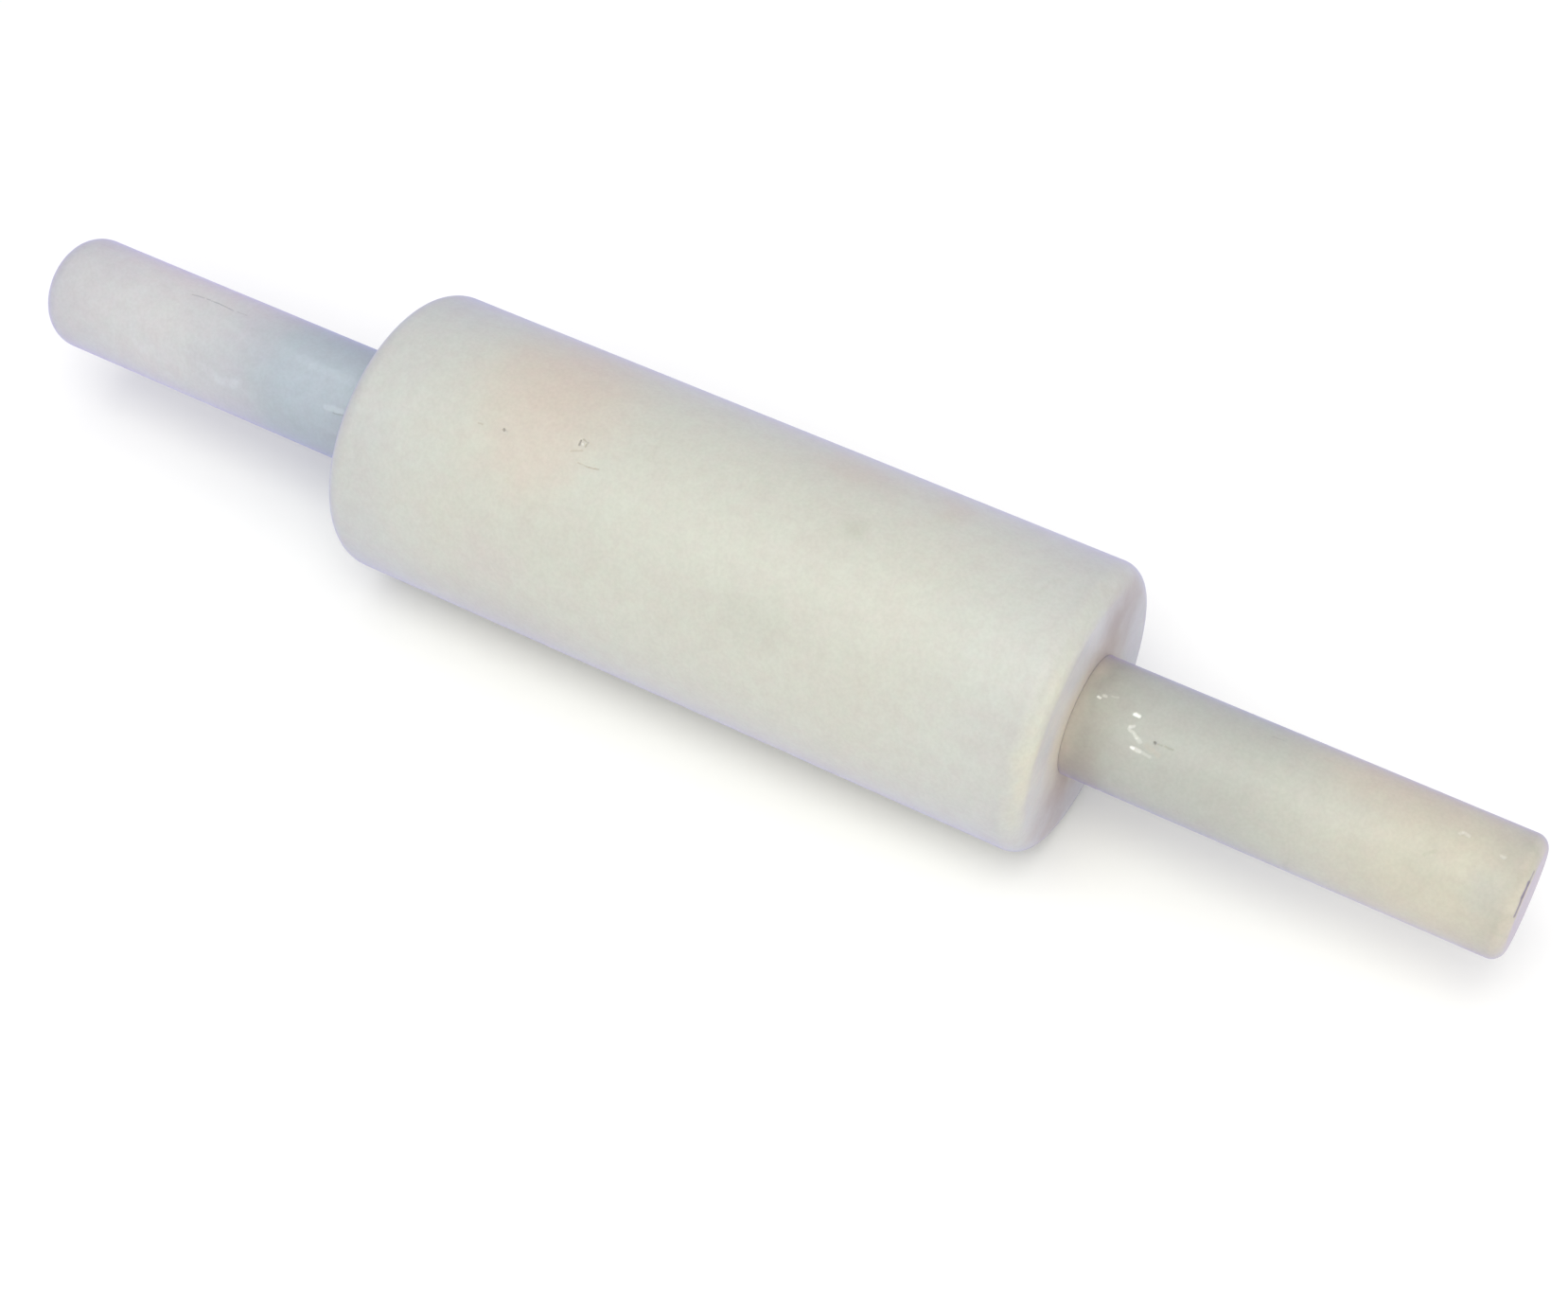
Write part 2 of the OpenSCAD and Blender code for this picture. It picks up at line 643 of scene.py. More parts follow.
@dataclass(frozen=True)
class MarbleFinish:
    """One stone: its colours along the pin, its clouds, veins and flaws, its painted light and
    shade, and its polish.

    Attributes:
        name: the material's name.
        bands: the stone's own colours along the axle.
        band_drift: how far noise pushes those colours about, in millimetres.
        haze: tint of the broad clouds that run through the whole stone.
        haze_grain: size of those clouds, in millimetres.
        haze_strength: share of that tint where the clouds are thickest.
        vein: tint of the thin veins.
        vein_strength: share of that tint in a vein.
        clouds: patches of other tints, each in its own place; some are painted light and painted
            shade.
        marks: small flaws, painted glints and painted shade lines, each in its own place.
        polish: the surface.
        ring_tints: rings of residue, of a paler sawn face and of painted shade.
        glow: how much light goes through the stone under its surface.
    """

    name: str
    bands: tuple[Band, ...]
    band_drift: float
    haze: Colour
    haze_grain: float
    haze_strength: float
    vein: Colour
    vein_strength: float
    clouds: tuple[TintPatch, ...]
    marks: tuple[Mark, ...]
    polish: Polish
    ring_tints: tuple[RingTint, ...] = ()
    glow: float = 0.35

    def make(self) -> bpy.types.Material:
        """Makes the stone's material."""
        return MarbleBench(self).make()


class MarbleBench(Bench):
    """The node tree of one stone, with a method for each thing that shows in it."""

    BAND_GRAIN = 9.0
    HAZE_DRIFT = 0.4
    HAZE_DETAIL = 4.0
    HAZE_ROUGH = 0.55
    HAZE_STEP: Step = (0.42, 0.72)
    VEIN_DRIFT = Drift(14.0, 7.0)
    VEIN_RIDGES = Grain(26.0, 2.0)
    VEIN_STEP: Step = (0.955, 1.0)
    VEIN_GAPS = Grain(18.0, 1.0, low=0.5, high=0.68)
    PATCH_DRIFT = Drift(7.0, 3.0)
    PATCH_STEP: Step = (0.15, 1.25)
    MARK_DRIFT = Drift(1.1, 0.22)
    MARK_STEP: Step = (0.35, 1.1)
    CRYSTALS = Grain(0.7, 2.0, 0.6, 0.3, 0.7)
    CRYSTAL_STAIN: Colour = (0.945, 0.945, 0.945)
    BLOTCHES = Grain(2.6, 3.0, 0.6, 0.3, 0.7)
    BLOTCH_STAIN: Colour = (0.965, 0.965, 0.960)
    MOTTLE_DRIFT = Drift(6.0, 2.0)
    MOTTLE = Grain(3.4, 4.0, 0.65, 0.3, 0.7)
    ROSY_STAIN: Colour = (1.0, 0.955, 0.975)
    SMEAR_DRIFT = Drift(20.0, 9.0)
    SMEARS = Grain(12.0, 4.0, 0.6)
    FINE_SMEARS = Grain(0.9, 2.0)
    RELIEF_GRAIN = Grain(0.5, 3.0, 0.55)
    RELIEF_RINGS = Grain(1.0, 1.0)
    RING_FINENESS = 1.6
    RELIEF_WAVES = Grain(11.0, 1.0)
    GRAIN_SHARE = 0.5
    RING_SHARE = 0.25
    WAVE_SHARE = 2.0
    REFRACTION = 1.5
    GLOW_REACH = (1.0, 0.85, 0.65)
    GLOW_DEPTH = 2.5
    DUST_SPREAD = 0.40

    def __init__(self, stone: MarbleFinish) -> None:
        """Starts the stone's material.

        Args:
            stone: the finish that is made.
        """
        super().__init__(stone.name)
        self.stone = stone

    def make(self) -> bpy.types.Material:
        """Lays all that shows in the stone over its own colour.

        Returns:
            The stone's material.
        """
        colour = self._banded()
        layers = (self._haze, self._veins, self._tint_patches, self._ring_tints, self._drawn_marks, self._crystals)
        for layer in layers:
            colour = layer(colour)
        wires = {"Base Color": colour, "Roughness": self._roughness(), "Normal": self._relief()}
        constants = {
            "IOR": self.REFRACTION,
            "Subsurface Weight": self.stone.glow,
            "Subsurface Radius": self.GLOW_REACH,
            "Subsurface Scale": self.GLOW_DEPTH * MM,
            "Sheen Weight": self.stone.polish.sheen,
            "Sheen Roughness": self.DUST_SPREAD,
            "Sheen Tint": (*self.stone.polish.sheen_tint, 1.0),
        }
        return self.surface(constants, wires)

    def _banded(self) -> Wire:
        """Makes the stone's own colour, which changes along the pin with a cloudy edge.

        Returns:
            The colour.
        """
        bands = self.stone.bands
        first = bands[0].along
        span = bands[-1].along - first
        stops = [((band.along - first) / span, band.colour) for band in bands]
        pushed = self.drifted(Drift(self.BAND_GRAIN, self.stone.band_drift))
        share = (self.part(pushed, "X") - first) / span
        return self.node("ShaderNodeValToRGB", {"stops": stops}, {0: share.held()})

    def _haze(self, colour: Wire) -> Wire:
        """Lays broad clouds through the whole stone.

        Args:
            colour: the colour under them.

        Returns:
            The colour with the clouds.
        """
        size = self.stone.haze_grain
        pushed = self.drifted(Drift(size, self.HAZE_DRIFT * size))
        thick = self.mask(pushed, Grain(size, self.HAZE_DETAIL, self.HAZE_ROUGH, *self.HAZE_STEP))
        return self.mixed(thick * self.stone.haze_strength, colour, self.stone.haze)

    def _veins(self, colour: Wire) -> Wire:
        """Draws thin veins, which come and go.

        Args:
            colour: the colour under them.

        Returns:
            The colour with the veins.
        """
        ridges = self.noise(self.drifted(self.VEIN_DRIFT), self.VEIN_RIDGES)
        line = (1.0 - (ridges * 2.0 - 1.0).size()).rises(*self.VEIN_STEP)
        seen = line * self.mask(self.place, self.VEIN_GAPS)
        return self.mixed(seen * self.stone.vein_strength, colour, self.stone.vein)

    def _tint_patches(self, colour: Wire) -> Wire:
        """Lays the patches that each have a place of their own, some of them painted light and
        painted shade.

        Args:
            colour: the colour under them.

        Returns:
            The colour with the patches.
        """
        pushed = self.drifted(self.PATCH_DRIFT)
        for tint_patch in self.stone.clouds:
            reach = (tint_patch.reach_along, tint_patch.reach_across, tint_patch.reach_across)
            from_centre = self.vector("SUBTRACT", pushed, tuple(tint_patch.centre.point()))
            far = self.vector("LENGTH", self.vector("DIVIDE", from_centre, reach))
            mask = 1.0 - far.rises(*self.PATCH_STEP)
            colour = self.mixed(mask * tint_patch.strength, colour, tint_patch.tint)
        return colour

    def _ring_tints(self, colour: Wire) -> Wire:
        """Lays the ring tints: residue, a paler sawn face and painted shade.

        Args:
            colour: the colour under them.

        Returns:
            The colour with the rings.
        """
        for ring_tint in self.stone.ring_tints:
            colour = self.stained(ring_tint.mask(self), colour, ring_tint.stain)
        return colour

    def _drawn_marks(self, colour: Wire) -> Wire:
        """Draws the small flaws, painted glints and painted shade lines, with ragged edges.

        Args:
            colour: the colour under them.

        Returns:
            The colour with the flaws.
        """
        ragged = self.drifted(self.MARK_DRIFT)
        core, reach = self.MARK_STEP
        for mark in self.stone.marks:
            run = tuple(mark.run())
            from_start = self.vector("SUBTRACT", ragged, tuple(mark.start.point()))
            dot = self.vector("DOT_PRODUCT", from_start, run)
            share = (dot * (1.0 / mark.squared_length())).held()
            on_run = self.vector("SCALE", run, scale=share)
            far = self.vector("LENGTH", self.vector("SUBTRACT", from_start, on_run))
            mask = 1.0 - far.rises(core * mark.half_width, reach * mark.half_width)
            colour = self.mixed(mask * mark.strength, colour, mark.tint.value)
        return colour

    def _crystals(self, colour: Wire) -> Wire:
        """Adds the grain of marble: fine crystals, darker blotches and a rosy mottle.

        Args:
            colour: the colour under it.

        Returns:
            The colour with the grain.
        """
        mottle = self.mask(self.drifted(self.MOTTLE_DRIFT), self.MOTTLE)
        colour = self.stained(self.mask(self.place, self.CRYSTALS), colour, self.CRYSTAL_STAIN)
        colour = self.stained(self.mask(self.place, self.BLOTCHES), colour, self.BLOTCH_STAIN)
        return self.stained(mottle, colour, self.ROSY_STAIN)

    def _roughness(self) -> Wire:
        """Makes the roughness, with the faint smears that hands and dough leave.

        Returns:
            The roughness.
        """
        polish = self.stone.polish
        smears = self.noise(self.drifted(self.SMEAR_DRIFT), self.SMEARS) - MEAN_NOISE
        fine = self.noise(self.place, self.FINE_SMEARS) - MEAN_NOISE
        roughness = smears * (2.0 * polish.smear) + fine * polish.smear + polish.roughness
        for ring_tint in self.stone.ring_tints:
            if ring_tint.roughening:
                roughness = roughness + ring_tint.mask(self) * ring_tint.roughening
        return roughness

    def _relief(self) -> Wire:
        """Makes the grain in the surface, and the faint rings that turning left.

        Returns:
            The bumped normal.
        """
        grain = self.noise(self.place, self.RELIEF_GRAIN)
        rings = self.noise(self.turned_place(self.RING_FINENESS), self.RELIEF_RINGS)
        waves = self.noise(self.place, self.RELIEF_WAVES)
        height = grain * self.GRAIN_SHARE + rings * self.RING_SHARE + waves * self.WAVE_SHARE
        return self.bump(height, self.stone.polish.grain_height)


@dataclass(frozen=True)
class TurnedMetalFinish:
    """Metal from a lathe, with fine rings and a little tarnish.

    Attributes:
        name: the material's name.
        bright: colour of the clean metal.
        dull: colour of the tarnish.
        tarnish: share of the tarnish where it is thickest.
        roughness: the mean roughness.
        ring_height: height of the rings, in millimetres.
    """

    name: str
    bright: Colour
    dull: Colour
    tarnish: float
    roughness: float
    ring_height: float = 0.02

    RINGS = Grain(1.0, 2.0, 0.5, 0.35, 0.7)
    RING_FINENESS = 5.0
    RING_SHARE = 0.15
    RING_ROUGHNESS = 0.12
    STAINS = Grain(3.5, 4.0, 0.6, 0.45, 0.75)
    STAIN_ROUGHNESS = 0.15

    def make(self) -> bpy.types.Material:
        """Makes the metal's material.

        Returns:
            The material.
        """
        bench = Bench(self.name)
        rings = bench.noise(bench.turned_place(self.RING_FINENESS), self.RINGS)
        dull_rings = rings.rises(self.RINGS.low, self.RINGS.high) * self.RING_SHARE
        stains = bench.mask(bench.place, self.STAINS)
        colour = bench.mixed(stains * self.tarnish, self.bright, self.dull)
        roughness = (rings - MEAN_NOISE) * self.RING_ROUGHNESS + stains * self.STAIN_ROUGHNESS
        wires = {
            "Base Color": bench.mixed(dull_rings, colour, self.dull),
            "Roughness": roughness + self.roughness,
            "Normal": bench.bump(rings, self.ring_height),
        }
        return bench.surface({"Metallic": 1.0}, wires)


@dataclass(frozen=True)
class NylonFinish:
    """Turned nylon: matt, a little waxy, with fine rings and rubbed grey dust.

    Attributes:
        name: the material's name.
        body: colour of the nylon.
        dust: colour of the rubbed dust.
        roughness: the mean roughness.
        ring_height: height of the rings, in millimetres.
    """

    name: str
    body: Colour
    dust: Colour
    roughness: float = 0.46
    ring_height: float = 0.03

    RINGS = Grain(1.0, 1.0)
    RING_FINENESS = 4.0
    RUBBED = Grain(2.5, 3.0, 0.6, 0.45, 0.8)
    RUBBED_SHARE = 0.35
    RING_SHARE = 0.06
    ROUGHNESS_SHARE = 0.1
    REFRACTION = 1.53
    GLOW = 0.25
    GLOW_DEPTH = 1.0

    def make(self) -> bpy.types.Material:
        """Makes the nylon's material.

        Returns:
            The material.
        """
        bench = Bench(self.name)
        rings = bench.noise(bench.turned_place(self.RING_FINENESS), self.RINGS)
        rubbed = bench.mask(bench.place, self.RUBBED)
        dusty = rubbed * self.RUBBED_SHARE + rings * self.RING_SHARE
        wander = (rings - MEAN_NOISE) * self.ROUGHNESS_SHARE + rubbed * self.ROUGHNESS_SHARE
        wires = {
            "Base Color": bench.mixed(dusty, self.body, self.dust),
            "Roughness": wander + self.roughness,
            "Normal": bench.bump(rings, self.ring_height),
        }
        constants = {
            "IOR": self.REFRACTION,
            "Subsurface Weight": self.GLOW,
            "Subsurface Scale": self.GLOW_DEPTH * MM,
        }
        return bench.surface(constants, wires)


def in_scene(made: bpy.types.Object) -> bpy.types.Object:
    """Links an object to the scene, and gives it back."""
    bpy.context.scene.collection.objects.link(made)
    return made


class Section:
    """Half of a turned solid's cross-section, drawn point by point."""

    def __init__(self, along: float, radius: float) -> None:
        """Starts the line.

        Args:
            along: where the first point is along X, in millimetres.
            radius: its distance from the axle's middle line, in millimetres.
        """
        self.points: list[SectionPoint] = [(along, radius)]

    def line(self, along: float, radius: float, step: float) -> None:
        """Draws a straight stretch to a new point.

        Args:
            along: the new point along X, in millimetres.
            radius: its distance from the middle line, in millimetres.
            step: the longest stretch between two points.
        """
        start_along, start_radius = self.points[-1]
        length = math.dist((start_along, start_radius), (along, radius))
        for share in np.linspace(0.0, 1.0, max(1, math.ceil(length / step)) + 1)[1:]:
            place = start_along + share * (along - start_along)
            self.points.append((place, start_radius + share * (radius - start_radius)))

    def wall(self, places: Iterable[float], radius: float) -> None:
        """Draws a straight wall with points at given places.

        Args:
            places: the places along X, in the order in which they are drawn.
            radius: the wall's radius.
        """
        self.points.extend((along, radius) for along in places)

    def arc(
        self, centre: SectionPoint, radius: float, start: float, end: float, count: int
    ) -> None:
        """Draws an arc.

        Args:
            centre: the arc's centre, as along and radius.
            radius: the arc's own radius.
            start: the angle it starts at, in degrees from +X towards a larger radius.
            end: the angle it ends at.
            count: how many stretches it has.
        """
        for angle in np.radians(np.linspace(start, end, count + 1)):
            point = (centre[0] + radius * math.cos(angle), centre[1] + radius * math.sin(angle))
            if math.dist(point, self.points[-1]) > NEARLY_NOTHING:
                self.points.append(point)


@dataclass
class Turning:
    """A stone turned on a lathe, with its flaws broken out of it.

    Attributes:
        section: half of its cross-section. A point on the middle line closes the mesh there.
        wall: radius of the outer wall, in millimetres.
        marks: the flaws.
        base_turns: how many stations a full turn has where there are no flaws.
        wave: how far the hand-turned wall wanders inwards, in millimetres.
        wave_seed: where in the noise this stone's wandering is read.
    """

    section: list[SectionPoint]
    wall: float
    marks: tuple[Mark, ...]
    base_turns: int
    wave: float
    wave_seed: float

    SHARP_ANGLE = 38.0
    WAVE_LENGTH = 34.0
    WAVE_FROM = 0.8
    FLAW_REACH = 1.15
    FLAW_CURVE = 1.5

    def mesh(self, name: str) -> bpy.types.Object:
        """Makes the solid.

        Args:
            name: the piece's name.

        Returns:
            The object, with its vertices in the frame that all pieces share.
        """
        turns = self._turn_stations()
        points, rings = self._points(turns)
        data = bpy.data.meshes.new(name)
        data.from_pydata((points * MM).tolist(), [], self._faces(rings, len(turns)))
        self._face_outwards(data)
        data.shade_smooth()
        data.set_sharp_from_angle(angle=math.radians(self.SHARP_ANGLE))
        return in_scene(bpy.data.objects.new(name, data))

    def _turn_stations(self) -> list[float]:
        """Finds the angles of the stations round the axle, close together at the flaws.

        Returns:
            The angles, in degrees.
        """
        step = FULL_TURN / self.base_turns
        plain = [step * index for index in range(self.base_turns)]
        fine = [mark.stretch(mark.start.turn, mark.end.turn, self.wall) for mark in self.marks]
        return spaced(plain, fine, FULL_TURN)

    def _points(self, turns: list[float]) -> tuple[np.ndarray, list[list[int]]]:
        """Places every vertex.

        Args:
            turns: the angles of the stations, in degrees.

        Returns:
            The vertices in millimetres, and the numbers of the vertices in each ring.
        """
        angles = np.radians(turns)
        cosines, sines, level = -np.cos(angles), np.sin(angles), np.ones(len(angles))
        blocks, pulls, rings, first = [], [], [], 0
        for (along, radius), (pull_along, pull_out) in zip(self.section, self._section_normals()):
            if radius < NEARLY_NOTHING:
                blocks.append([[along, 0.0, 0.0]])
                pulls.append([[pull_along, 0.0, 0.0]])
            else:
                blocks.append(np.column_stack([along * level, radius * cosines, radius * sines]))
                pull_across = (pull_out * cosines, pull_out * sines)
                pulls.append(np.column_stack([pull_along * level, *pull_across]))
            count = len(blocks[-1])
            rings.append(list(range(first, first + count)))
            first += count
        points = np.vstack(blocks)
        points = points - np.vstack(pulls) * self._depths(points)[:, None]
        return self._wandering(points), rings

    def _section_normals(self) -> list[SectionPoint]:
        """Finds the direction out of the stone at each point of the section.

        Returns:
            The directions, of length 1, as along and outwards.
        """
        befores = self.section[:1] + self.section[:-1]
        afters = self.section[1:] + self.section[-1:]
        found = []
        for before, after in zip(befores, afters):
            along, out = np.subtract(after, before)
            length = float(np.hypot(along, out)) or 1.0
            found.append((-out / length, along / length))
        return found

    def _depths(self, points: np.ndarray) -> np.ndarray:
        """Finds how far the stone is broken away at each point.

        Args:
            points: the vertices, in millimetres.

        Returns:
            The depths, in millimetres.
        """
        depths = np.zeros(len(points))
        for mark in self.marks:
            from_start, run = points - mark.start.point(), mark.run()
            share = np.clip(from_start @ run / mark.squared_length(), 0.0, 1.0)
            far = np.linalg.norm(from_start - share[:, None] * run, axis=1)
            rim = np.clip(1.0 - (far / (self.FLAW_REACH * mark.half_width)) ** 2, 0.0, 1.0)
            depths = np.maximum(depths, mark.depth * rim**self.FLAW_CURVE)
        return depths

    def _wandering(self, points: np.ndarray) -> np.ndarray:
        """Lets the outer wall wander inwards a little, as a hand-turned one does.

        Args:
            points: the vertices, in millimetres.

        Returns:
            The moved vertices.
        """
        out = np.hypot(points[:, 1], points[:, 2])
        moved = points.copy()
        for index in np.nonzero(out > self.WAVE_FROM * self.wall)[0]:
            place = Vector(points[index]) / self.WAVE_LENGTH
            place.x += self.wave_seed
            share = 0.5 + 0.5 * noise.noise(place)
            moved[index, 1:] *= 1.0 - self.wave * share / out[index]
        return moved

    @staticmethod
    def _faces(rings: list[list[int]], turns: int) -> list[tuple[int, ...]]:
        """Joins neighbouring rings.

        Args:
            rings: the numbers of the vertices in each ring.
            turns: how many vertices a full ring has.

        Returns:
            The faces.
        """
        pairs = list(zip(rings, rings[1:]))
        if len(rings[0]) > 1:
            pairs.append((rings[-1], rings[0]))
        faces = []
        for low, high in pairs:
            for index in range(turns):
                after = (index + 1) % turns
                if len(low) == 1:
                    faces.append((low[0], high[index], high[after]))
                elif len(high) == 1:
                    faces.append((low[index], high[0], low[after]))
                else:
                    faces.append((low[index], high[index], high[after], low[after]))
        return faces

    @staticmethod
    def _face_outwards(data: bpy.types.Mesh) -> None:
        """Turns every face of a closed mesh outwards.

        Args:
            data: the mesh.
        """
        work = bmesh.new()
        work.from_mesh(data)
        bmesh.ops.recalc_face_normals(work, faces=work.faces)
        work.to_mesh(data)
        work.free()


def spaced(plain: list[float], fine: list[Stretch], period: float = 0.0) -> list[float]:
    """Makes a row of stations that lie close together where there are flaws.

    Args:
        plain: the stations that are there anyway, in order.
        fine: the stretches with flaws.
        period: length after which the stations repeat, or 0 for a straight row.

    Returns:
        The stations, in order.
    """
    close = []
    for low, high, step in fine:
        count = max(FEWEST_STEPS, math.ceil((high - low) / step))
        close.extend((place, step) for place in np.linspace(low, high, count + 1))
    if period:
        close = [(place % period, step) for place, step in close]
    kept = []
    for place, step in sorted(close):
        if not kept or place - kept[-1][0] > MERGED_BELOW * min(step, kept[-1][1]):
            kept.append((place, step))
    gap = PLAIN_GAP * min((step for place, step in kept), default=0.0)
    first, last = plain[0], period or plain[-1]
    inside = [place for place, step in kept if first < place < last - gap]
    rest = [place for place in plain if all(abs(place - other) > gap for other in inside)]
    ends = {first} if period else {first, last}
    return sorted(set(rest) | set(inside) | ends)


def wall_places(low: float, high: float, step: float, fine: list[Stretch]) -> list[float]:
    """Makes the stations of a straight wall, without its two ends.

    Args:
        low: where the wall begins along the axle, in millimetres.
        high: where it ends.
        step: the widest gap where there are no flaws.
        fine: the stretches with flaws.

    Returns:
        The stations, in order.
    """
    count = math.ceil((high - low) / step)
    return spaced(np.linspace(low, high, count + 1).tolist(), fine)[1:-1]


@dataclass(frozen=True)
class HiddenPits:
    """Small natural pits on the sides that the photograph doesn't show.

    Attributes:
        seed: start of the random row.
        count: how many pits.
        low: the lowest place along X, in millimetres.
        high: the highest place along X.
    """

    seed: int
    count: int
    low: float
    high: float

    TURNS = (150.0, 300.0)
    TAIL_REACH = 0.6
    TAIL_TURN = 1.0
    HALF_WIDTHS = (0.22, 0.4)
    DEPTH_SHARE = 0.6
    STRENGTH = 0.6

    def on(self, wall: float) -> tuple[Mark, ...]:
        """Draws the pits on a wall.

        Args:
            wall: the wall's radius, in millimetres.

        Returns:
            The pits.
        """
        dice = random.Random(self.seed)
        pits = []
        for _ in range(self.count):
            along = dice.uniform(self.low, self.high)
            turn = dice.uniform(*self.TURNS)
            tail_along = along + dice.uniform(-self.TAIL_REACH, self.TAIL_REACH)
            tail_turn = turn + dice.uniform(-self.TAIL_TURN, self.TAIL_TURN)
            half_width = dice.uniform(*self.HALF_WIDTHS)
            start, end = Spot(along, turn, wall), Spot(tail_along, tail_turn, wall)
            depth = self.DEPTH_SHARE * half_width
            pits.append(Mark(start, end, half_width, depth, Tint.OLIVE_LINE, self.STRENGTH))
        return tuple(pits)


@dataclass
class Stone(ABC):
    """One of the pin's three turned stones.

    Attributes:
        wall: radius of its straight outer wall, in millimetres.
        TURNS: how many stations a full turn has where there are no flaws.
        WAVE: how far its wall wanders inwards, in millimetres.
        WAVE_SEED: where in the noise that wandering is read.
    """

    wall: float

    TURNS: ClassVar[int]
    WAVE: ClassVar[float]
    WAVE_SEED: ClassVar[float]

    def spot(self, along: float, turn: float) -> Spot:
        """A place on the straight outer wall."""
        return Spot(along, turn, self.wall)

    @abstractmethod
    def marks(self) -> tuple[Mark, ...]:
        """The marks: flaws, painted glints and painted shade lines that the photograph shows, and
        small pits on the far side.
        """

    @abstractmethod
    def finish(self) -> MarbleFinish:
        """The stone's finish."""

    @abstractmethod
    def section(self) -> list[SectionPoint]:
        """Half of the stone's cross-section."""

    def turned(self, name: str) -> bpy.types.Object:
        """Turns the stone and dresses it.

        Args:
            name: the piece's name.

        Returns:
            The piece.
        """
        shape = (self.section(), self.wall, self.marks())
        piece = Turning(*shape, self.TURNS, self.WAVE, self.WAVE_SEED).mesh(name)
        piece.data.materials.append(self.finish().make())
        return piece


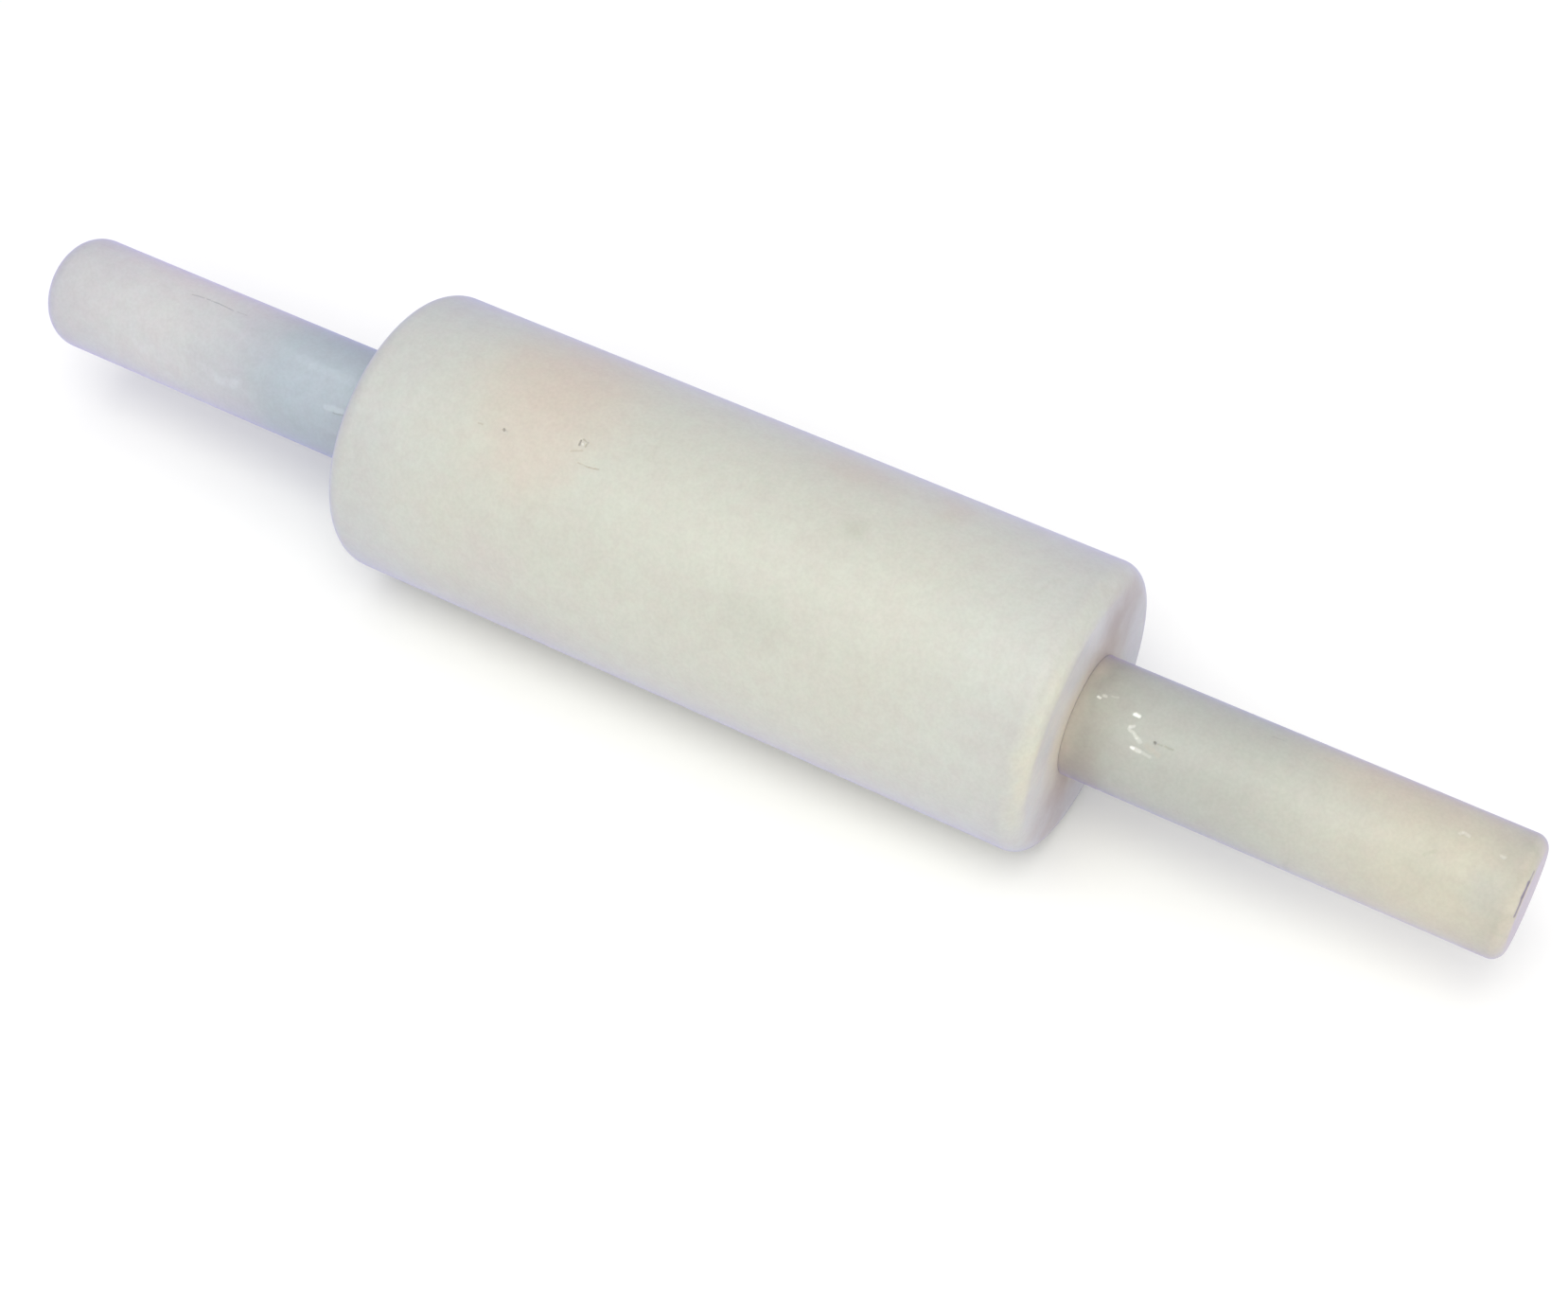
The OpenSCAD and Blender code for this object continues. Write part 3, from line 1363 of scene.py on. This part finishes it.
@dataclass
class Barrel(Stone):
    """The heavy marble roller, honed and drilled through.

    Attributes:
        end: distance of the end faces from the middle.
        rim: radius of the rounded rims.
        recess_radius: radius of the recess in each end face.
        recess_floor: distance of the recess's floor from the middle.
        seat_radius: radius of the bush's seat.
        seat_floor: distance of the seat's inner end from the middle.
        core_radius: radius of the hole between the seats.
        mouth_break: width of the broken edge at the recess's mouth.
    """

    end: float
    rim: float = 4.1
    recess_radius: float = 9.15
    recess_floor: float = 64.8
    seat_radius: float = 7.09
    seat_floor: float = 50.8
    core_radius: float = 6.2
    mouth_break: float = 0.25

    RIM_STEPS = 18
    WALL_STEP = 2.5
    INNER_STEP = 5.0
    FACE_STEP = 1.5
    TURNS = 176
    WAVE = 0.07
    WAVE_SEED = 3.7
    PITS = HiddenPits(11, 7, -62.0, 62.0)

    def marks(self) -> tuple[Mark, ...]:
        """Gives a dark pit, a ring-shaped chip, hairlines, a chipped underside and hidden pits.

        Returns:
            The flaws.
        """
        spot = self.spot
        seen = (
            Mark(spot(-39.9, 65.0), spot(-39.8, 64.9), 0.29, 0.25, Tint.DARK_PIT, 1.0),
            Mark(spot(-25.7, 72.6), spot(-25.5, 70.8), 0.25, 0.16, Tint.DARK_PIT, 0.50),
            Mark(spot(-25.0, 71.7), spot(-24.9, 71.3), 0.24, 0.05, Tint.PALE_CHIP_GLINT, 0.45),
            Mark(spot(-25.4, 73.6), spot(-24.4, 72.9), 0.22, 0.12, Tint.OLIVE_LINE, 0.45),
            Mark(spot(-24.3, 72.9), spot(-24.3, 71.2), 0.25, 0.10, Tint.OLIVE_LINE, 0.42),
            Mark(spot(-26.3, 67.4), spot(-24.4, 69.3), 0.26, 0.04, Tint.BROWN_LINE, 0.28),
            Mark(spot(-24.0, 64.2), spot(-22.1, 64.2), 0.20, 0.05, Tint.BROWN_LINE, 0.35),
            Mark(spot(-21.8, 64.2), spot(-19.9, 64.9), 0.20, 0.06, Tint.BROWN_LINE, 0.58),
            Mark(spot(-45.0, 63.6), spot(-44.1, 63.9), 0.22, 0.05, Tint.BROWN_LINE, 0.32),
            Mark(spot(-53.6, -30.8), spot(-52.4, -31.2), 0.55, 0.4, Tint.GREY_LINE, 0.7),
            Mark(spot(21.4, -31.4), spot(25.6, -31.6), 0.45, 0.28, Tint.GREY_LINE, 0.5),
        )
        return seen + self.PITS.on(self.wall)

    def finish(self) -> MarbleFinish:
        """Gives the barrel's stone: creamy green-white, with faint tan and grey-green clouds.

        Returns:
            The finish.
        """
        spot = self.spot
        return MarbleFinish(
            name="honed_cream_marble",
            bands=(
                Band(-72.0, (0.512, 0.533, 0.515)),
                Band(-64.0, (0.520, 0.542, 0.514)),
                Band(-56.0, (0.537, 0.559, 0.513)),
                Band(-46.0, (0.546, 0.562, 0.498)),
                Band(-10.0, (0.551, 0.569, 0.501)),
                Band(40.0, (0.553, 0.567, 0.500)),
                Band(58.0, (0.540, 0.561, 0.514)),
                Band(66.0, (0.528, 0.545, 0.508)),
                Band(72.0, (0.508, 0.525, 0.492)),
            ),
            band_drift=6.0,
            haze=(0.500, 0.510, 0.445),
            haze_grain=30.0,
            haze_strength=0.18,
            vein=(0.44, 0.44, 0.36),
            vein_strength=0.12,
            clouds=(
                TintPatch(spot(-35.0, 92.0), 17.0, 21.0, (0.575, 0.522, 0.445), 0.9),
                TintPatch(spot(-33.0, 60.0), 10.0, 11.0, (0.578, 0.535, 0.465), 0.6),
                # On the right end face: the paler patch is painted light, and the two brown patches
                # at top and bottom are painted shade, warm brown like the residue.
                TintPatch(Spot(75.0, 32.0, 18.0), 5.5, 23.0, (0.655, 0.638, 0.490), 0.85),
                TintPatch(Spot(73.5, 124.0, 17.0), 4.0, 12.5, (0.365, 0.325, 0.250), 1.0),
                TintPatch(Spot(73.5, -56.0, 16.0), 4.0, 13.0, (0.390, 0.348, 0.275), 1.0),
                TintPatch(spot(-36.0, 16.0), 9.0, 7.0, (0.545, 0.528, 0.490), 0.6),
                TintPatch(spot(-33.0, -10.0), 20.0, 8.0, (0.515, 0.520, 0.470), 0.7),
                TintPatch(spot(16.0, 36.0), 9.0, 6.0, (0.512, 0.530, 0.465), 0.7),
                TintPatch(spot(21.0, 112.0), 11.0, 7.0, (0.548, 0.518, 0.448), 0.7),
                TintPatch(spot(39.0, 112.0), 5.0, 6.0, (0.548, 0.518, 0.448), 0.6),
                TintPatch(spot(27.6, 81.9), 3.0, 3.0, (0.450, 0.470, 0.390), 0.5),
            ),
            marks=self.marks(),
            polish=Polish(roughness=0.42, smear=0.05, grain_height=0.020),
            ring_tints=(
                # Round the right handle's root: residue in the joint, and painted shade there. At
                # the rim: a ring of painted shade.
                RingTint(72.0, 11.3, 0.0, 8.0, (1.0, 0.94, 0.78)),
                RingTint(70.6, 26.2, 0.0, 4.5, (0.95, 0.95, 0.95)),
            ),
        )

    def section(self) -> list[SectionPoint]:
        """Draws half of the barrel's cross-section, once round the stone.

        Returns:
            The section, from the right rim in to the hole, through it and out to the left rim.
        """
        inner, rim_centre = self.end - self.rim, self.wall - self.rim
        half = Section(0.0, self.core_radius)
        for along, radius in (
            (self.seat_floor, self.core_radius),
            (self.seat_floor, self.seat_radius),
            (self.recess_floor, self.seat_radius),
            (self.recess_floor, self.recess_radius),
            (self.end - self.mouth_break, self.recess_radius),
            (self.end, self.recess_radius + self.mouth_break),
        ):
            half.line(along, radius, self.INNER_STEP)
        half.line(self.end, rim_centre, self.FACE_STEP)
        half.arc((inner, rim_centre), self.rim, 0.0, 90.0, self.RIM_STEPS)
        right = half.points
        left = [(-along, radius) for along, radius in right[1:]]
        fine = [mark.stretch(mark.start.along, mark.end.along) for mark in self.marks()]
        places = wall_places(-inner, inner, self.WALL_STEP, fine)
        return right[::-1] + left + [(along, self.wall) for along in places]

    def build(self) -> bpy.types.Object:
        """Makes the barrel, dresses it and lets it stand for its CAD node.

        Returns:
            The piece.
        """
        piece = self.turned("marble_barrel")
        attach(piece, Body.BARREL.value)
        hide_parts("barrel")
        return piece


@dataclass
class Handle(Stone):
    """One slim handle, honed finely and drilled blind for its brass insert.

    Attributes:
        face: distance of its inner face from the barrel's middle.
        tip: distance of its outer end from the barrel's middle.
        side: which end of the pin it is on.
        slot: its material slot; not used.
        tip_radius: radius of the rounded outer end.
        inner_edge: radius of the slight edge at the barrel.
        land: how far the inner face's rim stands out to the barrel, so that the joint looks shut.
        land_radius: radius at which that rim begins, outside the lock nut.
        hole_radius: radius of the drilled hole.
        hole_depth: depth of the drilled hole.
    """

    face: float
    tip: float
    side: Side
    slot: Slot
    tip_radius: float
    inner_edge: float = 0.04
    land: float = 0.17
    land_radius: float = 9.3
    hole_radius: float = 6.06
    hole_depth: float = 26.0

    EDGE_STEPS = 5
    TIP_STEPS = 14
    WALL_STEP = 2.0
    FACE_STEP = 1.2
    TURNS = 112
    WAVE = 0.05

    def section(self) -> list[SectionPoint]:
        """Draws half of the handle's cross-section, from the hole's bottom to the tip's middle.

        Returns:
            The section. A left handle's is the mirror of a right one's, the other way round.
        """
        tip_inner = self.tip - self.tip_radius
        rim_face = self.face - self.land
        face_inner = rim_face + self.inner_edge
        edge_radius = self.wall - self.inner_edge
        half = Section(self.face + self.hole_depth, 0.0)
        half.line(self.face + self.hole_depth, self.hole_radius, self.FACE_STEP)
        half.line(self.face, self.hole_radius, self.WALL_STEP)
        half.line(self.face, self.land_radius, self.FACE_STEP)
        half.line(rim_face, self.land_radius + self.land, self.FACE_STEP)
        half.line(rim_face, edge_radius, self.FACE_STEP)
        half.arc((face_inner, edge_radius), self.inner_edge, 180.0, 90.0, self.EDGE_STEPS)
        fine = [mark.stretch(abs(mark.start.along), abs(mark.end.along)) for mark in self.marks()]
        half.wall(wall_places(face_inner, tip_inner, self.WALL_STEP, fine), self.wall)
        tip_centre = (tip_inner, self.wall - self.tip_radius)
        half.arc(tip_centre, self.tip_radius, 90.0, 0.0, self.TIP_STEPS)
        half.line(self.tip, 0.0, self.FACE_STEP)
        if self.side is Side.RIGHT:
            return half.points
        return [(-along, radius) for along, radius in reversed(half.points)]

    def build(self) -> bpy.types.Object:
        """Makes the handle, dresses it and lets it stand for its CAD node.

        Returns:
            The piece.
        """
        piece = self.turned(f"{self.side.word}_marble_handle")
        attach(piece, Body.HANDLES.value)
        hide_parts(f"{self.side.word}_handle")
        return piece


@dataclass
class LeftHandle(Handle):
    """The left handle: off-white at the outer part, blue-grey towards the barrel."""

    side: Side = Side.LEFT
    slot: Slot = Slot.LEFT_HANDLE_MARBLE
    tip_radius: float = 5.5

    WAVE_SEED = 9.1
    PITS = HiddenPits(23, 3, -140.0, -85.0)

    def marks(self) -> tuple[Mark, ...]:
        """Gives a hairline along the top, a pale streak painted as a soft glint, light veins and
        hidden pits.

        Returns:
            The flaws.
        """
        spot = self.spot
        seen = (
            Mark(spot(-121.2, 92.0), spot(-118.6, 93.6), 0.18, 0.05, Tint.GREY_LINE, 0.42),
            Mark(spot(-118.0, 94.2), spot(-114.6, 94.2), 0.18, 0.06, Tint.GREY_LINE, 0.58),
            Mark(spot(-114.4, 94.0), spot(-111.6, 93.4), 0.18, 0.06, Tint.GREY_LINE, 0.50),
            Mark(spot(-110.8, 93.8), spot(-108.4, 94.0), 0.18, 0.05, Tint.GREY_LINE, 0.24),
            # A pale streak on the handle's front: a painted soft glint.
            Mark(spot(-112.8, 26.0), spot(-109.0, 24.0), 0.90, 0.0, Tint.PALE_GLINT_STREAK, 0.08),
            Mark(spot(-108.4, 18.4), spot(-103.6, 23.8), 1.25, 0.0, Tint.PALE_GLINT_STREAK, 0.15),
            Mark(spot(-104.6, 24.8), spot(-103.0, 27.4), 0.80, 0.0, Tint.PALE_GLINT_STREAK, 0.10),
            Mark(spot(-96.3, 73.3), spot(-89.9, 71.8), 1.50, 0.0, Tint.PALE_VEIN, 0.18),
            Mark(spot(-89.5, 71.4), spot(-81.0, 71.4), 1.30, 0.0, Tint.PALE_VEIN, 0.22),
            Mark(spot(-83.6, 38.4), spot(-80.0, 40.4), 0.75, 0.02, Tint.PALE_VEIN, 0.55),
            Mark(spot(-81.6, 35.4), spot(-79.4, 37.4), 0.20, 0.05, Tint.GREY_LINE, 0.35),
        )
        return seen + self.PITS.on(self.wall)

    def finish(self) -> MarbleFinish:
        """Gives the left handle's stone.

        Returns:
            The finish.
        """
        spot = self.spot
        return MarbleFinish(
            name="honed_blue_grey_marble",
            bands=(
                Band(-152.7, (0.502, 0.510, 0.532)),
                Band(-143.0, (0.527, 0.537, 0.542)),
                Band(-137.0, (0.543, 0.554, 0.558)),
                Band(-124.0, (0.555, 0.566, 0.564)),
                Band(-113.0, (0.530, 0.549, 0.555)),
                Band(-106.0, (0.492, 0.514, 0.540)),
                Band(-100.0, (0.445, 0.484, 0.514)),
                Band(-95.0, (0.403, 0.466, 0.498)),
                Band(-86.0, (0.379, 0.440, 0.482)),
                Band(-72.0, (0.366, 0.417, 0.473)),
            ),
            band_drift=4.0,
            haze=(0.430, 0.450, 0.490),
            haze_grain=16.0,
            haze_strength=0.12,
            vein=(0.62, 0.65, 0.70),
            vein_strength=0.15,
            clouds=(
                # A brighter, greener-blue patch mid-handle: the stone's blue-green, and a painted
                # highlight.
                TintPatch(spot(-87.0, 55.0), 15.0, 9.0, (0.440, 0.508, 0.556), 0.9),
                TintPatch(spot(-110.8, 37.4), 7.0, 6.0, (0.480, 0.510, 0.530), 0.4),
                # A paler patch along the top-back edge: painted light.
                TintPatch(spot(-124.0, 124.0), 32.0, 8.0, (0.640, 0.605, 0.600), 0.6),
            ),
            marks=self.marks(),
            polish=Polish(
                roughness=0.42,
                smear=0.05,
                grain_height=0.015,
                sheen=0.40,
                sheen_tint=(0.25, 0.18, 0.97),
            ),
        )


@dataclass
class RightHandle(Handle):
    """The right handle: grey-green near the barrel, warm tan towards the outer end."""

    side: Side = Side.RIGHT
    slot: Slot = Slot.RIGHT_HANDLE_MARBLE
    tip_radius: float = 2.5

    WAVE_SEED = 17.4
    PITS = HiddenPits(31, 3, 85.0, 140.0)
    EDGE_INWARDS = 0.62
    EDGE_BACK = 0.08

    def _edge(self, turn: float) -> Spot:
        """A place on the tip's rounded edge, close to the flat face."""
        along = self.tip - self.EDGE_BACK * self.tip_radius
        return Spot(along, turn, self.wall - self.EDGE_INWARDS * self.tip_radius)

    def marks(self) -> tuple[Mark, ...]:
        """Gives pale chips, mostly painted glints, and a dark pit near the barrel; near the tip,
        pale specks that are painted glints and a chipped edge darkened by painted shade.

        Returns:
            The flaws.
        """
        spot, edge = self.spot, self._edge
        seen = (
            # Pale chips and spots: painted glints, over shallow dimples where a depth is given.
            Mark(spot(75.1, 70.9), spot(75.5, 70.4), 0.30, 0.08, Tint.PALE_CHIP_GLINT, 0.62),
            Mark(spot(75.9, 73.4), spot(76.3, 73.8), 0.42, 0.0, Tint.PALE_CHIP_GLINT, 0.30),
            Mark(spot(77.2, 76.0), spot(78.2, 76.9), 0.22, 0.0, Tint.PALE_CHIP_GLINT, 0.14),
            Mark(spot(82.2, 68.7), spot(83.0, 68.5), 0.48, 0.14, Tint.PALE_CHIP_GLINT, 1.0),
            Mark(spot(82.9, 58.6), spot(82.4, 57.0), 0.40, 0.05, Tint.PALE_CHIP_GLINT, 0.32),
            Mark(spot(82.5, 56.2), spot(82.3, 55.0), 0.34, 0.0, Tint.PALE_CHIP_GLINT, 0.20),
            Mark(spot(82.6, 53.8), spot(83.2, 53.6), 0.40, 0.06, Tint.PALE_CHIP_GLINT, 0.30),
            Mark(spot(83.6, 52.4), spot(84.1, 50.8), 0.44, 0.06, Tint.PALE_CHIP_GLINT, 0.32),
            Mark(spot(84.4, 50.0), spot(84.9, 48.2), 0.50, 0.0, Tint.PALE_CHIP_GLINT, 0.22),
            Mark(spot(83.9, 41.2), spot(84.2, 41.0), 0.38, 0.12, Tint.PALE_CHIP_GLINT, 0.95),
            Mark(spot(84.5, 41.0), spot(85.4, 40.6), 0.48, 0.05, Tint.PALE_CHIP_GLINT, 0.42),
            Mark(spot(85.8, 40.4), spot(87.4, 39.4), 0.42, 0.0, Tint.PALE_CHIP_GLINT, 0.20),
            Mark(spot(87.3, 52.5), spot(87.4, 52.4), 0.30, 0.25, Tint.DARK_PIT, 1.0),
            Mark(spot(87.9, 52.4), spot(88.6, 52.6), 0.22, 0.05, Tint.OLIVE_LINE, 0.32),
            Mark(spot(89.2, 52.8), spot(90.6, 52.9), 0.22, 0.05, Tint.OLIVE_LINE, 0.36),
            Mark(spot(86.4, 47.4), spot(88.6, 43.6), 0.70, 0.0, Tint.TAN_SMEAR, 0.22),
            Mark(spot(104.5, 103.9), spot(106.5, 105.1), 0.15, 0.06, Tint.GREY_LINE, 0.30),
            # Pale specks near the tip: painted glints.
            Mark(spot(139.4, 84.0), spot(139.7, 85.8), 0.40, 0.05, Tint.PALE_CHIP_GLINT, 0.16),
            Mark(spot(139.9, 86.4), spot(140.8, 85.4), 0.42, 0.05, Tint.PALE_CHIP_GLINT, 0.22),
            Mark(spot(146.9, 79.3), spot(147.4, 78.9), 0.44, 0.05, Tint.PALE_CHIP_GLINT, 0.24),
            Mark(spot(135.6, 54.6), spot(137.0, 61.0), 0.42, 0.0, Tint.OLIVE_SMEAR, 0.30),
            # The dark line along the tip's edge: a small chip, and painted shade along it.
            Mark(edge(82.0), edge(71.0), 0.36, 0.06, Tint.CHIP_SHADE_LINE, 0.60),
            Mark(edge(69.0), edge(54.0), 0.58, 0.12, Tint.CHIP_SHADE_LINE, 1.0),
            Mark(edge(52.0), edge(34.0), 0.44, 0.08, Tint.CHIP_SHADE_LINE, 0.85),
        )
        return seen + self.PITS.on(self.wall)

    def finish(self) -> MarbleFinish:
        """Gives the right handle's stone.

        Returns:
            The finish.
        """
        spot = self.spot
        return MarbleFinish(
            name="honed_warm_marble",
            bands=(
                # Near the barrel the stone runs warmer and darker: partly residue in the joint,
                # partly painted shade.
                Band(72.0, (0.500, 0.455, 0.400)),
                Band(76.0, (0.362, 0.362, 0.322)),
                Band(80.0, (0.395, 0.408, 0.373)),
                Band(84.0, (0.424, 0.442, 0.405)),
                Band(93.0, (0.430, 0.449, 0.411)),
                Band(105.0, (0.441, 0.458, 0.411)),
                Band(112.0, (0.470, 0.483, 0.427)),
                Band(120.0, (0.505, 0.513, 0.446)),
                Band(131.0, (0.535, 0.521, 0.431)),
                Band(141.0, (0.540, 0.525, 0.429)),
                Band(152.7, (0.480, 0.465, 0.395)),
            ),
            band_drift=4.0,
            haze=(0.400, 0.405, 0.365),
            haze_grain=15.0,
            haze_strength=0.15,
            vein=(0.36, 0.38, 0.31),
            vein_strength=0.22,
            clouds=(
                # A dark brown patch low at the root: residue and painted shade.
                TintPatch(spot(76.5, -8.0), 5.0, 9.0, (0.330, 0.300, 0.275), 0.6),
                TintPatch(spot(127.0, 115.0), 20.0, 8.0, (0.550, 0.498, 0.412), 0.7),
                TintPatch(spot(146.5, 44.0), 5.0, 5.0, (0.455, 0.480, 0.425), 0.6),
                # A darker, warmer patch on the tip's flat end: painted shade.
                TintPatch(Spot(155.7, 50.0, 0.0), 5.0, 22.0, (0.400, 0.370, 0.300), 0.25),
                TintPatch(spot(136.4, 49.2), 6.0, 5.0, (0.470, 0.475, 0.400), 0.4),
            ),
            marks=self.marks(),
            polish=Polish(roughness=0.50, smear=0.05, grain_height=0.015, sheen=0.33),
            ring_tints=(RingTint(self.tip, 0.0, 8.6, 10.6, (1.12, 1.10, 1.0), 0.30),),
        )


@dataclass
class Running:
    """What the barrel turns on: the axle, bushes, washers, nuts and brass inserts."""

    nodes: dict[str, bpy.types.Object]

    STEEL = TurnedMetalFinish(
        "turned_steel", (0.56, 0.57, 0.58), (0.33, 0.32, 0.30), tarnish=0.35, roughness=0.27
    )
    BRASS = TurnedMetalFinish(
        "turned_brass", (0.79, 0.57, 0.25), (0.42, 0.29, 0.13), tarnish=0.5, roughness=0.30
    )
    NYLON = NylonFinish("turned_nylon", (0.83, 0.81, 0.74), (0.46, 0.45, 0.42))

    def dress(self) -> None:
        """Gives each inner CAD node its finish."""
        steel, brass, nylon = self.STEEL.make(), self.BRASS.make(), self.NYLON.make()
        kinds = {
            "axle": steel,
            "thrust_washer": steel,
            "lock_nut": steel,
            "bush": nylon,
            "handle_insert": brass,
        }
        for name, node in self.nodes.items():
            for ending, material in kinds.items():
                if name.endswith(ending):
                    self._assign(node, material)
                    LOG.info("dressed %s in %s", name, material.name)

    @staticmethod
    def _assign(node: bpy.types.Object, material: bpy.types.Material) -> None:
        """Puts a material in every slot of a CAD node.

        Args:
            node: the node's object.
            material: the material.
        """
        if not node.material_slots:
            node.data.materials.append(material)
        for place in node.material_slots:
            place.material = material


def direction(azimuth: float, elevation: float) -> Vector:
    """Finds the direction from the pin to somebody who looks at it.

    Args:
        azimuth: degrees round the pin, 0 in front (-Y) and 90 at the right (+X).
        elevation: degrees above the floor.

    Returns:
        The direction, of length 1.
    """
    turn, rise = math.radians(azimuth), math.radians(elevation)
    flat = math.cos(rise)
    return Vector((math.sin(turn) * flat, -math.cos(turn) * flat, math.sin(rise)))


@dataclass(frozen=True)
class Lamp:
    """A soft box.

    Attributes:
        name: the lamp's name.
        azimuth: where it stands round the pin, in degrees, 0 in front and 90 at the right.
        elevation: how high it stands, in degrees.
        watts: its power.
        colour: its colour.
        distance: how far off it stands, in millimetres.
        size: width of its square face, in millimetres.
    """

    name: str
    azimuth: float
    elevation: float
    watts: float
    colour: Colour = (1.0, 0.995, 0.87)
    distance: float = 1300.0
    size: float = 900.0

    def build(self) -> bpy.types.Object:
        """Makes the lamp, aimed at the barrel's middle.

        Returns:
            The lamp.
        """
        data = bpy.data.lights.new(self.name, "AREA")
        data.shape = "SQUARE"
        data.size = self.size * MM
        data.energy = self.watts
        data.color = self.colour
        made = bpy.data.objects.new(self.name, data)
        back = direction(self.azimuth, self.elevation)
        made.location = back * self.distance * MM
        made.rotation_euler = (-back).to_track_quat("-Z", "Y").to_euler()
        return in_scene(made)


@dataclass(frozen=True)
class Viewpoint:
    """Where the photograph was taken from, fitted to the pin's outline.

    Attributes:
        azimuth: degrees round the pin.
        elevation: degrees above the floor.
        distance: distance from the aimed point, in millimetres.
        aim_right: how far the aimed point lies to the right of the barrel's middle.
        aim_down: how far it lies below the barrel's middle, as the camera sees it.
        focal_pixels: focal length in pixels of the whole photograph.
        sensor_width: width of the camera's sensor, in millimetres.
    """

    azimuth: float = 29.74
    elevation: float = 49.18
    distance: float = 519.5
    aim_right: float = 9.66
    aim_down: float = 15.13
    focal_pixels: float = 3000.0
    sensor_width: float = 36.0

    def build(self) -> bpy.types.Object:
        """Makes the camera and gives it to the scene.

        Returns:
            The camera.
        """
        turn = math.radians(self.azimuth)
        back = direction(self.azimuth, self.elevation)
        right = Vector((math.cos(turn), math.sin(turn), 0.0))
        up = back.cross(right)
        data = bpy.data.cameras.new("camera")
        data.sensor_width = self.sensor_width
        data.lens = self.sensor_width * self.focal_pixels / PHOTO_WIDTH
        made = bpy.data.objects.new("camera", data)
        place = back * self.distance + right * self.aim_right - up * self.aim_down
        facing = Matrix((right, up, back)).transposed().to_4x4()
        made.matrix_world = Matrix.Translation(place * MM) @ facing
        bpy.context.scene.camera = in_scene(made)
        return made


@dataclass(frozen=True)
class Studio:
    """A plain pale floor under plain soft light.

    Attributes:
        floor_height: height of the floor, in millimetres.
        floor_reach: how far the floor reaches, in millimetres.
        floor_colour: the floor's colour.
        floor_roughness: the floor's roughness.
        floor_shine: how strong the floor's reflections are.
        sky_colour: colour of the even light from all round.
        sky_strength: how strong that light is.
        lamps: the soft boxes.
    """

    floor_height: float
    floor_reach: float = 12000.0
    floor_colour: Colour = (0.93, 0.93, 0.94)
    floor_roughness: float = 0.9
    floor_shine: float = 0.2
    sky_colour: Colour = (0.897, 0.897, 1.0)
    sky_strength: float = 0.705
    lamps: tuple[Lamp, ...] = (
        Lamp("key", 0.0, 62.0, 5.65),
        Lamp("right", 25.0, 50.0, 3.80),
        Lamp("top", 0.0, 88.0, 2.42),
        Lamp("side", 80.0, 8.0, 7.20, (1.0, 0.975, 0.72)),
    )

    CORNERS = ((-1, -1), (1, -1), (1, 1), (-1, 1))

    def build(self) -> None:
        """Makes the floor, the sky and the lamps."""
        self._floor()
        self._sky()
        for lamp in self.lamps:
            lamp.build()
        bpy.context.scene.view_settings.view_transform = "Standard"

    def _floor(self) -> None:
        """Lays a flat sheet just under the barrel."""
        reach, height = self.floor_reach * MM, self.floor_height * MM
        points = [(reach * along, reach * across, height) for along, across in self.CORNERS]
        data = bpy.data.meshes.new("floor")
        data.from_pydata(points, [], [tuple(range(len(points)))])
        made = in_scene(bpy.data.objects.new("floor", data))
        constants = {
            "Base Color": (*self.floor_colour, 1.0),
            "Roughness": self.floor_roughness,
            "Specular IOR Level": self.floor_shine,
        }
        made.data.materials.append(Bench("pale_floor").surface(constants, {}))

    def _sky(self) -> None:
        """Gives the scene even light from all round."""
        world = bpy.data.worlds.new("soft_room")
        bpy.context.scene.world = world
        world.use_nodes = True
        tree = world.node_tree
        tree.nodes.clear()
        light = tree.nodes.new("ShaderNodeBackground")
        out = tree.nodes.new("ShaderNodeOutputWorld")
        light.inputs["Color"].default_value = (*self.sky_colour, 1.0)
        light.inputs["Strength"].default_value = self.sky_strength
        tree.links.new(light.outputs[0], out.inputs["Surface"])


def main() -> None:
    """Builds the pin's pieces in order, then the studio and the camera."""
    logging.basicConfig(level=logging.INFO, format="%(name)s: %(message)s")
    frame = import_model()
    _, high = (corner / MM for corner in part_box("barrel"))
    barrel = Barrel(wall=high.z, end=high.x)
    pieces = [barrel.build()]
    for kind in (LeftHandle, RightHandle):
        side = kind.side
        low, high = (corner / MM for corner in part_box(f"{side.word}_handle"))
        face, tip = sorted((abs(low.x), abs(high.x)))
        pieces.append(kind(wall=high.z, face=face, tip=tip).build())
    for piece in pieces:
        LOG.info("built %s with %d faces", piece.name, len(piece.data.polygons))
    Running(frame["nodes"]).dress()
    Studio(floor_height=-barrel.wall).build()
    Viewpoint().build()


if __name__ == "__main__":
    main()
